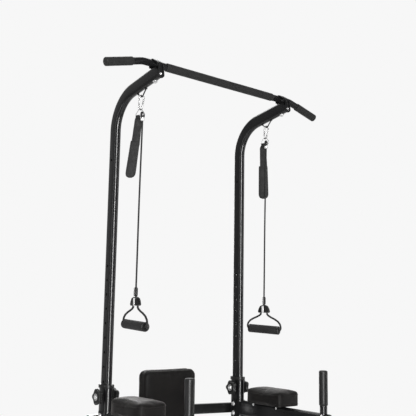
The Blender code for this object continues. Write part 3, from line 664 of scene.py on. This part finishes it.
def fine_clamp(name, mats):
    """Plate over the arm's end that carries on over the bar, with its edges softened."""
    x = centre_of("bar_clamp_" + name).x
    tip = Vector((x, ARM_TIP_Y, arm_tip_z()))
    way = Vector((0, -sin(BEND), cos(BEND)))
    up = Vector((0, cos(BEND), sin(BEND)))
    bar = centre_of("bar_grip_centre")
    bar = Vector((x, bar.y, bar.z)) - tip
    centre = (bar.dot(way), bar.dot(up))
    inner, outer, plate, rise = BAR_R + 0.0003, BAR_R + 0.0038, 0.0080, 0.028
    gap = hypot(plate - centre[0], rise - centre[1])
    lean = atan2(rise - centre[1], plate - centre[0]) + acos(outer / gap)
    crest = UPRIGHT[1] / 2 + 0.0003
    outline = [(plate, 0.0), (plate, rise), *arc(centre, outer, lean, pi, 20)]
    outline += [(centre[0] - outer, crest), (centre[0] - inner, crest)]
    outline += [*arc(centre, inner, pi, lean, 20), (0.0003, crest + 0.001), (0.0003, 0.0)]
    bm = bmesh.new()
    rings = [[bm.verts.new(tip + way * u + up * w + Vector((offset, 0, 0))) for u, w in outline]
             for offset in (-0.013, 0.013)]
    loft(bm, rings)
    strap = new_object("clamp_strap_" + name, bm, mats["satin"])
    bm = bmesh.new()
    sweep(bm, rounded(0.026, 0.0565, 0.0125, 8), [tip + way * 0.0003, tip + way * 0.0080], (1, 0, 0))
    front = new_object("clamp_plate_" + name, bm, mats["satin"])
    for obj in (strap, front):
        soften(obj, 0.0011, 3, CLAMP_EDGE)
        shade(obj.data, CLAMP_EDGE)
        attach(obj, "upper_frame")
    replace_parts(strap, "bar_clamp_" + name)


# ---- foam


def foam_sleeve(name, node, body, profile, base, axis, mat):
    """Foam grip with small, seeded dents, in place of its CAD solid."""
    bm = bmesh.new()
    revolve(bm, profile, base, axis, 40)
    rng = random.Random(len(name))
    offset = Vector([rng.uniform(-9, 9) for _ in range(3)])
    start, way = Vector(base), Vector(axis).normalized()
    for vert in bm.verts:
        middle = start + way * (vert.co - start).dot(way)
        out = vert.co - middle
        vert.co -= out * (0.012 + 0.012 * noise.noise(vert.co * 70 + offset))
    obj = piece(name, bm, mat, body, 60)
    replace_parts(obj, node)


def sleeve_profile(radius, length, bore, closed_end):
    """Outer skin of a sleeve, sampled along its length, with rolled ends."""
    points = [(bore, 0.0), (radius - 0.0022, 0.0), (radius - 0.0008, 0.0006), (radius, 0.0022)]
    steps = max(6, int(length / 0.006))
    points += [(radius, 0.0022 + (length - 0.0062) * i / steps) for i in range(1, steps + 1)]
    if closed_end:
        points += [(radius - 0.0006, length - 0.0022), (radius - 0.0025, length - 0.0008),
                   (radius - 0.0055, length), (0, length)]
    else:
        points += [(radius - 0.0008, length - 0.0006), (radius - 0.0022, length), (bore, length)]
    return points


def grips(mats):
    """Foam on the bar and on the dip handles."""
    low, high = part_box("bar_grip_centre")
    radius = (high.z - low.z) / 2
    middle = centre_of("bar_grip_centre")
    profile = sleeve_profile(radius, high.x - low.x, 0.0127, False)
    foam_sleeve("foam_bar_centre", "bar_grip_centre", "upper_frame", profile,
                (low.x, middle.y, middle.z), (1, 0, 0), mats["foam"])
    for name, side in SIDES:
        way = Vector((side * cos(BAR_DROP), 0, -sin(BAR_DROP)))
        low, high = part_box("bar_grip_" + name)
        length = ((high.x - low.x) - 2 * radius * sin(BAR_DROP)) / cos(BAR_DROP)
        base = centre_of("bar_grip_" + name) - way * length / 2
        foam_sleeve("foam_bar_" + name, "bar_grip_" + name, "upper_frame",
                    sleeve_profile(radius, length, 0.0127, True), base, way, mats["foam"])
        low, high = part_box("dip_grip_" + name)
        middle = centre_of("dip_grip_" + name)
        foam_sleeve("foam_dip_" + name, "dip_grip_" + name, "base_frame",
                    sleeve_profile((high.x - low.x) / 2, high.z - low.z, 0.0133, True),
                    (middle.x, middle.y, low.z), (0, 0, 1), mats["rubber_grip"])


# ---- pads


def rounded_box(bm, low, high, radius, corner, axis):
    """Closed box: its corners are rounded in the plane across an axis, and then every rim."""
    size, centre = high - low, (low + high) / 2
    bmesh.ops.create_cube(bm, size=1, matrix=Matrix.Translation(centre) @ Matrix.Diagonal((*size, 1)))
    along = [e for e in bm.edges if abs(e.verts[0].co[axis] - e.verts[1].co[axis]) > 0.001]
    bmesh.ops.bevel(bm, geom=along, offset=corner, segments=7, profile=0.5, affect="EDGES")
    rims = [e for e in bm.edges if e.calc_face_angle() > radians(60)]
    bmesh.ops.bevel(bm, geom=rims, offset=radius, segments=5, profile=0.5, affect="EDGES")


def remesh(obj, voxel):
    """Even small faces all over a closed mesh."""
    modifier = obj.modifiers.new("remesh", "REMESH")
    modifier.mode, modifier.voxel_size = "VOXEL", voxel
    bake(obj)


def inflate(obj, pressure, cap):
    """Swell a closed mesh as stuffed fabric, no point further than cap, and apply it."""
    remesh(obj, 0.005)
    rest = [v.co.copy() for v in obj.data.vertices]
    cloth = obj.modifiers.new("cloth", "CLOTH")
    cloth.settings.use_pressure = True
    cloth.settings.uniform_pressure_force = pressure
    cloth.settings.effector_weights.gravity = 0
    cloth.settings.quality = 5
    cloth.settings.tension_stiffness = 18
    cloth.settings.bending_stiffness = 1.5
    cloth.point_cache.frame_start, cloth.point_cache.frame_end = 1, 20
    for step in range(1, 21):
        bpy.context.scene.frame_set(step)
    bake(obj)
    bpy.context.scene.frame_set(1)
    for vert, start in zip(obj.data.vertices, rest):
        move = vert.co - start
        if move.length > cap:
            vert.co = start + move.normalized() * cap


def cushion(name, node, body, mat, flat_axis, flat_side, edge, corner, swell=0.0018):
    """Stuffed pad in its CAD solid's place: crowned, and cut flat where it is stapled to its board."""
    low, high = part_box(node)
    shrink = Vector([swell] * 3)
    inner_low, inner_high = low + shrink, high - shrink
    # the box runs on past the flat side, which is cut afterwards, so that its rim stays crisp
    if flat_side < 0:
        inner_low[flat_axis] = low[flat_axis] - edge
    else:
        inner_high[flat_axis] = high[flat_axis] + edge
    bm = bmesh.new()
    rounded_box(bm, inner_low, inner_high, edge, corner, flat_axis)
    obj = new_object(name, bm, mat)
    inflate(obj, 4.0, 0.0042)
    for vert in obj.data.vertices:
        for axis in range(3):
            if axis != flat_axis:
                vert.co[axis] = min(max(vert.co[axis], low[axis] - 0.0015), high[axis] + 0.0015)
    smooth = obj.modifiers.new("smooth", "SMOOTH")
    smooth.iterations, smooth.factor = 2, 0.5
    finer = obj.modifiers.new("finer", "SUBSURF")
    finer.levels = finer.render_levels = 1
    bake(obj)
    plane = low.copy() if flat_side < 0 else high.copy()
    normal = Vector([flat_side if axis == flat_axis else 0 for axis in range(3)])
    bm = bmesh.new()
    bm.from_mesh(obj.data)
    bmesh.ops.bisect_plane(bm, geom=[*bm.verts, *bm.edges, *bm.faces], plane_co=plane, plane_no=normal,
                           clear_outer=True)
    bmesh.ops.holes_fill(bm, edges=[e for e in bm.edges if e.is_boundary])
    bm.to_mesh(obj.data)
    bm.free()
    shade(obj.data, PAD_EDGE)
    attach(obj, body)
    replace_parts(obj, node)
    return obj


def seam(name, pad, body, points, mats):
    """Welt laid on a pad's skin along a loop of points."""
    tree = BVHTree.FromObject(pad, bpy.context.evaluated_depsgraph_get())
    on_skin, out = [], []
    for point in points:
        spot, normal, _, _ = tree.find_nearest(Vector(point))
        on_skin.append(spot + normal * 0.0003)
        out.append(normal)
    bm = bmesh.new()
    shape, rings, count = circle(WELT_R, 8), [], len(on_skin)
    for i, spot in enumerate(on_skin):
        along = (on_skin[(i + 1) % count] - on_skin[i - 1]).normalized()
        first = out[i]
        second = along.cross(first).normalized()
        rings.append([bm.verts.new(spot + first * u + second * v) for u, v in shape])
    for ring, other in zip(rings, rings[1:] + rings[:1]):
        skin(bm, ring, other)
    piece(name, bm, mats["leather"], body)


def outline_of(low, high, axis, level, radius, count):
    """Loop of points just outside a box, in the plane across an axis, at a level on that axis."""
    a, b = [k for k in range(3) if k != axis]
    width, length = high[a] - low[a] + 2 * WELT_REACH, high[b] - low[b] + 2 * WELT_REACH
    points = []
    for u, v in rounded(width, length, radius, 6):
        spot = Vector((0, 0, 0))
        spot[axis] = level
        spot[a], spot[b] = (low[a] + high[a]) / 2 + u, (low[b] + high[b]) / 2 + v
        points.append(spot)
    return spaced(points, count, closed=True)


def pads(mats):
    """Two arm pads and the back pad, with their welts."""
    for name, _ in SIDES:
        node = "arm_pad_" + name
        pad = cushion("cushion_arm_" + name, node, "base_frame", mats["leather"], 2, -1, 0.010, 0.016)
        low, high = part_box(node)
        for tag, level in (("top", high.z - 0.013), ("base", low.z + 0.008)):
            loop = outline_of(low, high, 2, level, 0.020, 150)
            seam("welt_arm_" + tag + "_" + name, pad, "base_frame", loop, mats)
    pad = cushion("cushion_back", "back_pad", "base_frame", mats["leather"], 1, 1, 0.010, 0.024)
    low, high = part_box("back_pad")
    for tag, level in (("front", low.y + 0.013), ("rear", high.y - 0.009)):
        loop = outline_of(low, high, 1, level, 0.022, 260)
        seam("welt_back_" + tag, pad, "base_frame", loop, mats)


# ---- cords, straps, stirrups


def ring_point(name, t, w):
    """A point in the ring's plane: t along it, w down from its top wire."""
    low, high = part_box("ring_" + name)
    middle = (low + high) / 2
    return Vector((middle.x + t * cos(RING_YAW), middle.y + t * sin(RING_YAW),
                   high.z - RING_WIRE - w))


def elastic_cord(name, facts, mats):
    """The free cord: nearly plumb, with the faint set of a coiled cord."""
    top = ring_point(name, facts["along"], RING_FLAT)
    top.z = FERRULE_Z - 0.0003
    foot = Vector(facts["foot"])
    curve = bpy.data.curves.new("cord_" + name, "CURVE")
    curve.dimensions = "3D"
    curve.bevel_depth, curve.bevel_resolution, curve.use_fill_caps = CORD_R, 5, True
    spline = curve.splines.new("POLY")
    shares = [i / 39 for i in range(40)]
    spots = [top.lerp(foot, t) + Vector((0, 0.0015 * sin(pi * t) ** 2, 0)) for t in shares]
    spline.points.add(len(spots) - 1)
    for point, spot in zip(spline.points, spots):
        point.co = (*spot, 1)
    spline.use_smooth = True
    obj = bpy.data.objects.new("cord_" + name, curve)
    bpy.context.collection.objects.link(obj)
    curve.materials.append(mats["braid"])
    body = "cord_" + name
    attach(obj, body)
    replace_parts(obj, "elastic_cord_" + name)


def cord_loop(name, facts, mats):
    """The cord's own end, turned over the ring and held in a crimped ferrule."""
    hold = ring_point(name, facts["along"], RING_FLAT)
    across = Vector((sin(-RING_YAW), cos(RING_YAW), 0))
    route = [(0.0030, -0.0110), (0.0056, -0.0050), (0.0074, 0.0020), (0.0062, 0.0082), (0.0, 0.0108),
             (-0.0062, 0.0082), (-0.0074, 0.0020), (-0.0056, -0.0050), (-0.0030, -0.0110)]
    points = spline_points([hold + across * u + Vector((0, 0, w)) for u, w in route], 40)
    bm = bmesh.new()
    sweep(bm, circle(0.0036, 16), points, UP.cross(across))
    rope = piece("rope_loop_" + name, bm, mats["braid"], "cord_" + name)
    bm = bmesh.new()
    profile = [(0, 0), (0.0046, 0), (0.0062, 0.0010), (0.0068, 0.0030), (0.0064, 0.0042),
               (0.0064, 0.0054), (0.0069, 0.0066), (0.0069, 0.0080), (0.0064, 0.0094),
               (0.0066, 0.0110), (0.0054, 0.0128), (0, 0.0134)]
    revolve(bm, profile, (hold.x, hold.y, FERRULE_Z), (0, 0, 1), 28)
    piece("ferrule_" + name, bm, mats["bright"], "cord_" + name)
    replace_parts(rope, "cord_loop_" + name)


def stirrup_grip(name, facts, mats):
    """Foam tube with moulded end caps on the stirrup's lower cord."""
    x, y, _ = facts["foot"]
    lean = tan(radians(facts["pitch"]))
    yaw = radians(facts["yaw"])
    axis = Vector((cos(yaw), sin(yaw), lean)).normalized()
    centre = Vector((x, y, facts["grip_z"]))
    body = "grip_" + name
    bore, rim, cap, thick = 0.0052, STIRRUP_GRIP_R, 0.006, 0.0056
    foam_sleeve("foam_stirrup_" + name, "stirrup_grip_" + name, body,
                sleeve_profile(rim, 2 * HALF_GRIP - 2 * cap, bore, False),
                centre - axis * (HALF_GRIP - cap), axis, mats["grip"])
    profile = [(bore, 0), (rim - 0.0022, 0), (rim - 0.0004, 0.0012), (rim, 0.0032), (rim, thick),
               (bore, thick), (bore, 0)]
    for tag, way in (("a", -1), ("b", 1)):
        bm = bmesh.new()
        revolve(bm, profile, centre + axis * way * HALF_GRIP, -axis * way, 32)
        piece("grip_cap_" + tag + "_" + name, bm, mats["nylon"], body)


def strap_line(name):
    """The strap's middle at a share of its length down, and its directions across and out."""
    top = ring_point(name, -0.0085, RING_FLAT) - Vector((0, 0, 0.0034))
    low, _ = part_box("hand_strap_" + name)
    drift, facing, _, behind = STRAP_LAY[name]
    sideways, away = Vector((0.781, -0.624, 0)), Vector((0.624, 0.781, 0))

    def centre(t):
        """It steps back from the cord at once, and drifts sideways on the way down."""
        shift = drift * max(0.0, t - 0.05) / 0.95
        back = (0.0105 + behind / 5) * min(1.0, t / 0.05) + behind * t
        return top + sideways * shift + away * back + Vector((0, 0, (low.z - top.z) * t))

    turn = Matrix.Rotation(radians(facing), 3, "Z")
    return centre, turn @ Vector((1, 0, 0)), turn @ Vector((0, -1, 0))


def strap_bands(name, mats):
    """Two layers of webbing, and the fold that takes them round the ring."""
    centre, across, out = strap_line(name)
    body = "strap_" + name
    steps = 22
    for tag, offset, stop, shift in (("front", 0.0018, 0.44, 0.0), ("rear", -0.0022, 0.62, 0.0045)):
        bm = bmesh.new()
        rings = []
        for i in range(steps + 1):
            t = stop * i / steps
            width = 0.0155 + 0.0095 * min(1.0, t / 0.045)
            if tag == "rear" and t > 0.45:
                width *= 1 - 0.55 * (t - 0.45) / 0.17
            middle = centre(t) + out * offset + across * shift * min(1.0, t * 2.2)
            middle += out * 0.0008 * sin(t * 40)
            shape = rounded(width, 0.0017, 0.0007, 3)
            rings.append([bm.verts.new(middle + across * u + out * v) for u, v in shape])
        loft(bm, rings)
        piece("webbing_" + tag + "_" + name, bm, mats["webbing"], body)
    hold = ring_point(name, -0.0085, RING_FLAT)
    along = Vector((cos(RING_YAW), sin(RING_YAW), 0))
    normal = along.cross(UP)
    turn_over = arc((0, 0), 0.0036, radians(-75), radians(255), 20)
    fold = [hold + normal * u + Vector((0, 0, w)) for u, w in turn_over]
    fold = [fold[0] + Vector((0, 0, -0.006)), *fold, fold[-1] + Vector((0, 0, -0.006))]
    bm = bmesh.new()
    sweep(bm, rounded(0.0155, 0.0016, 0.0006, 3), fold, along)
    piece("webbing_fold_" + name, bm, mats["webbing"], body)


SLEEVE_TOP = 0.385                # share of the strap's length where its sleeve begins


def sleeve_section(name, s):
    """Share down the strap, width and thickness of the sleeve, at a share of its own length."""
    full = STRAP_LAY[name][2]
    width = full * (0.0305 + 0.0030 * min(1.0, s * 1.3))
    thick = 0.0085 + 0.0035 * sin(pi * min(1, s * 1.05)) ** 0.6
    return SLEEVE_TOP + (1 - SLEEVE_TOP) * s, width, thick


def strap_sleeve(name, mats):
    """Padded sleeve that the strap runs into, with a rounded foot."""
    centre, across, out = strap_line(name)
    bm = bmesh.new()
    rings, steps = [], 34
    for i in range(steps + 1):
        s = i / steps
        t, width, thick = sleeve_section(name, s)
        if s < 0.04:
            width, thick = width - 0.002 * (1 - s / 0.04), thick - 0.003 * (1 - s / 0.04)
        if s > 0.86:
            fall = sqrt(max(0.0, 1 - ((s - 0.86) / 0.14) ** 2))
            width = max(0.006, width * (0.30 + 0.70 * fall))
            thick = max(0.003, thick * (0.35 + 0.65 * fall))
        middle = centre(t)
        shape = []
        for k in range(28):
            a = 2 * pi * k / 28
            u = copysign(abs(cos(a)) ** 0.75, cos(a)) * width / 2
            v = copysign(abs(sin(a)) ** 0.95, sin(a)) * thick / 2
            shape.append((u, v))
        rings.append([bm.verts.new(middle + across * u + out * v) for u, v in shape])
    loft(bm, rings)
    sleeve = piece("sleeve_" + name, bm, mats["sleeve"], "strap_" + name, 60)
    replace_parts(sleeve, "hand_strap_" + name)


def strap_stitches(name, mats):
    """Rows of stitches down both edges of the sleeve, and a zigzag across the webbing."""
    centre, across, out = strap_line(name)
    bm = bmesh.new()
    for edge in (-1, 1):
        for i in range(30):
            t, width, thick = sleeve_section(name, 0.05 + 0.80 * i / 30)
            spot = centre(t) + across * edge * (width / 2 - 0.0042) + out * (thick / 2 * 0.80)
            tip = spot + (centre(t + 0.010) - centre(t)) * 0.9
            sweep(bm, circle(0.00045, 6), [spot, (spot + tip) / 2 + out * 0.0002, tip], across)
    for i in range(9):
        spot = centre(0.13 + 0.02 * (i % 2)) + across * (-0.008 + 0.002 * i) + out * 0.0029
        sweep(bm, circle(0.0004, 6), [spot, spot + across * 0.0016], UP)
    piece("stitches_" + name, bm, mats["thread"], "strap_" + name)


# ---- fasteners and caps


def bolt_head(bm, base, axis, radius, height):
    """Hexagon head on a washer, with a chamfered top."""
    revolve(bm, [(0, 0), (radius * 1.35, 0), (radius * 1.35, 0.0010), (radius * 1.30, 0.0014), (0, 0.0014)],
            base, axis, 28)
    top = Vector(base) + Vector(axis).normalized() * 0.0014
    profile = [(0, 0), (radius * 0.97, 0), (radius, 0.0004), (radius, height * 0.8),
               (radius * 0.86, height), (0, height)]
    revolve(bm, profile, top, axis, 6)


def screw_head(bm, base, axis, radius, height):
    """Domed socket screw."""
    profile = [(0, 0), (radius, 0), (radius, height * 0.25), (radius * 0.92, height * 0.62),
               (radius * 0.68, height * 0.92), (radius * 0.45, height), (radius * 0.42, height * 0.45),
               (0, height * 0.40)]
    revolve(bm, profile, base, axis, 28)


def clamp_fasteners(name, mats):
    """The clamp's screw, the bolt under the arm, and two ribs on the clamp's front."""
    low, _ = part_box("bar_clamp_" + name)
    x = centre_of("bar_clamp_" + name).x
    bm = bmesh.new()
    screw_head(bm, (x - 0.004, low.y + 0.0022, low.z + 0.0135), (0, -0.987, 0.162), 0.0050, 0.0036)
    bolt_head(bm, (x, -0.1015, 2.1695), (0, -0.162, -0.987), 0.0065, 0.0050)
    piece("clamp_screws_" + name, bm, mats["chrome"], "upper_frame")
    bm = bmesh.new()
    for offset in (-0.0085, 0.0085):
        base = Vector((x + offset, low.y + 0.0012, low.z + 0.018))
        top = base + Vector((0, 0.0046, 0.030))
        rib = [base + Vector((0, 0.002, -0.002)), base, top, top + Vector((0, 0.003, 0.002))]
        sweep(bm, circle(0.0021, 12), spline_points(rib, 12), (1, 0, 0))
    piece("clamp_ribs_" + name, bm, mats["paint"], "upper_frame")


def arm_screws(name, mats):
    """Bolts of the dip arm on its post, and the screws of its handle and its pad."""
    bm = bmesh.new()
    post = centre_of("post_" + name)
    for way in (-1, 1):
        for height in (1.001, 1.037):
            bolt_head(bm, (post.x + way * 0.0199, post.y + 0.002, height), (way, 0, 0), 0.0062, 0.0046)
    handle = centre_of("dip_handle_" + name)
    screw_head(bm, (handle.x - 0.0130, handle.y - 0.003, 1.046), (-1, 0, 0.35), 0.0050, 0.0034)
    pad = centre_of("arm_pad_" + name)
    for y in (0.038, -0.087):
        screw_head(bm, (pad.x - 0.0145, y, 1.0455), (-1, 0, 0.5), 0.0046, 0.0030)
    piece("arm_screws_" + name, bm, mats["chrome"], "base_frame")


def knob_caps(name, side, mats):
    """Domed screw and washer on each lock knob's face."""
    for place, way in (("outer", side), ("inner", -side)):
        body = "lock_knob_" + place + "_" + name
        low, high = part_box(body)
        face = high.x if way > 0 else low.x
        washer = [(0.0092, 0), (0.0118, 0), (0.0118, 0.0008), (0.0092, 0.0008), (0.0092, 0)]
        bm = bmesh.new()
        screw_head(bm, (face - way * 0.0006, POST_Y, KNOB_Z), (way, 0, 0), 0.0078, 0.0042)
        revolve(bm, washer, (face - way * 0.0004, POST_Y, KNOB_Z), (way, 0, 0), 32)
        piece("knob_cap_" + place + "_" + name, bm, mats["chrome"], body)


def plug(name, centre, axis, width, height, radius, mats):
    """Moulded plug in a tube's open end."""
    bm = bmesh.new()
    path = [centre + axis * step for step in (-0.006, 0.0002, 0.0016, 0.0026)]
    sweep(bm, rounded(height, width, radius, 6), path, (0, 0, 1), sizes=(0.86, 1.0, 1.0, 0.90))
    piece(name, bm, mats["plastic"], "base_frame")


def tube_caps(mats):
    """Plugs in the ends of the dip arms and of the crossbar."""
    sweepback = radians(14)
    for name, side in SIDES:
        low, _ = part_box("dip_arm_" + name)
        x = centre_of("dip_handle_" + name).x - side * 0.0006
        plug("dip_plug_" + name, Vector((x, low.y, 1.023)), Vector((0, -1, 0)), 0.0290, 0.0590, 0.0144, mats)
        low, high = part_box("crossbar")
        edge = low if side < 0 else high
        axis = Vector((side * cos(sweepback), -sin(sweepback), 0))
        plug("crossbar_plug_" + name, Vector((edge.x - side * 0.0030, low.y + 0.0135, 1.0165)), axis,
             0.0245, 0.0375, 0.0045, mats)


def hanger_welds(mats):
    """Beads where the hanger loop's rod meets the arm."""
    for name, side in SIDES:
        bm = bmesh.new()
        for spot in HANGER_FEET:
            rng = random.Random(int(spot[1] * 1e4))
            points = [Vector((side * HANGER_X + 0.0034 * cos(a), spot[0] + 0.0042 * sin(a),
                              spot[1] - 0.0004 + rng.uniform(-0.0002, 0.0002)))
                      for a in [2 * pi * k / 18 for k in range(18)]]
            sweep(bm, circle(0.0013, 8), points, (0, 0, 1), closed=True,
                  sizes=[1 + 0.15 * (k % 2) for k in range(18)])
        piece("hanger_weld_" + name, bm, mats["paint"], "upper_frame")


def side_strips(name, top, along, outline, strip, count, mat, body):
    """Two bent strips beside a middle line, from pairs of a distance out and a distance down."""
    across = along.cross(UP)
    bm = bmesh.new()
    for way in (-1, 1):
        line = [top + across * way * out - Vector((0, 0, down)) for out, down in outline]
        sweep(bm, strip, spline_points(line, count), along)
    piece(name, bm, mat, body)


def hook_details(mats):
    """Spring gate on the cord's hook, and the plated clip that wraps the yoke."""
    gate = ((0.0050, 0.0030), (0.0066, 0.0060), (0.0068, 0.0160), (0.0066, 0.0265), (0.0050, 0.0292))
    clip = ((0.0066, 0.0046), (0.0076, 0.0080), (0.0077, 0.0160), (0.0077, 0.0240), (0.0070, 0.0296))
    for name, facts in HANGING.items():
        foot = Vector(facts["foot"])
        yaw = radians(facts["yaw"])
        along = Vector((cos(yaw), sin(yaw), 0))
        side_strips("hook_gate_" + name, foot - along * 0.0018, along, gate,
                    rounded(0.0042, 0.0014, 0.0006, 4), 18, mats["chrome"], "cord_" + name)
        top = foot - Vector((0, 0, HOOK_HEIGHT + 0.0006)) + along * facts["clip"]
        side_strips("yoke_clip_" + name, top, along, clip,
                    rounded(0.0085, 0.0016, 0.0007, 4), 20, mats["bright"], "stirrup_" + name)


def build():
    """Everything, from the camera to the last screw."""
    camera()
    studio()
    mats = {
        "paint": painted_steel(), "satin": painted_steel("satin_steel", 0.0, 0.46, 0.58),
        "foam": foam(), "grip": foam("handle_foam", 0.010), "leather": leatherette(),
        "braid": braided(), "webbing": webbing(), "sleeve": webbing("sleeve_fabric", 420, 0.0095, 0.6),
        "plastic": moulded(), "nylon": moulded("hook_plastic", 0.009, 0.25, 0.40), "rubber": rubber(),
        "chrome": plated(), "bright": plated("bright_plating", 0.90, 0.34, 0.48, 0.25),
        "wood": plywood(), "thread": thread(), "rubber_grip": rubber_grip(),
        "wire": plated("carabiner_wire", 0.42, 0.22, 0.34, 0.85),
    }
    floor(pale_floor())
    for name, facts in HANGING.items():
        elastic_cord(name, facts, mats)
        cord_loop(name, facts, mats)
        stirrup_grip(name, facts, mats)
    refined_nodes(mats)
    fine_bar(mats)
    grips(mats)
    for name, side in SIDES:
        fine_upright(name, side, mats)
        fine_clamp(name, mats)
        strap_bands(name, mats)
        strap_sleeve(name, mats)
        strap_stitches(name, mats)
    pads(mats)
    for name, side in SIDES:
        clamp_fasteners(name, mats)
        arm_screws(name, mats)
        knob_caps(name, side, mats)
    tube_caps(mats)
    hanger_welds(mats)
    hook_details(mats)


build()
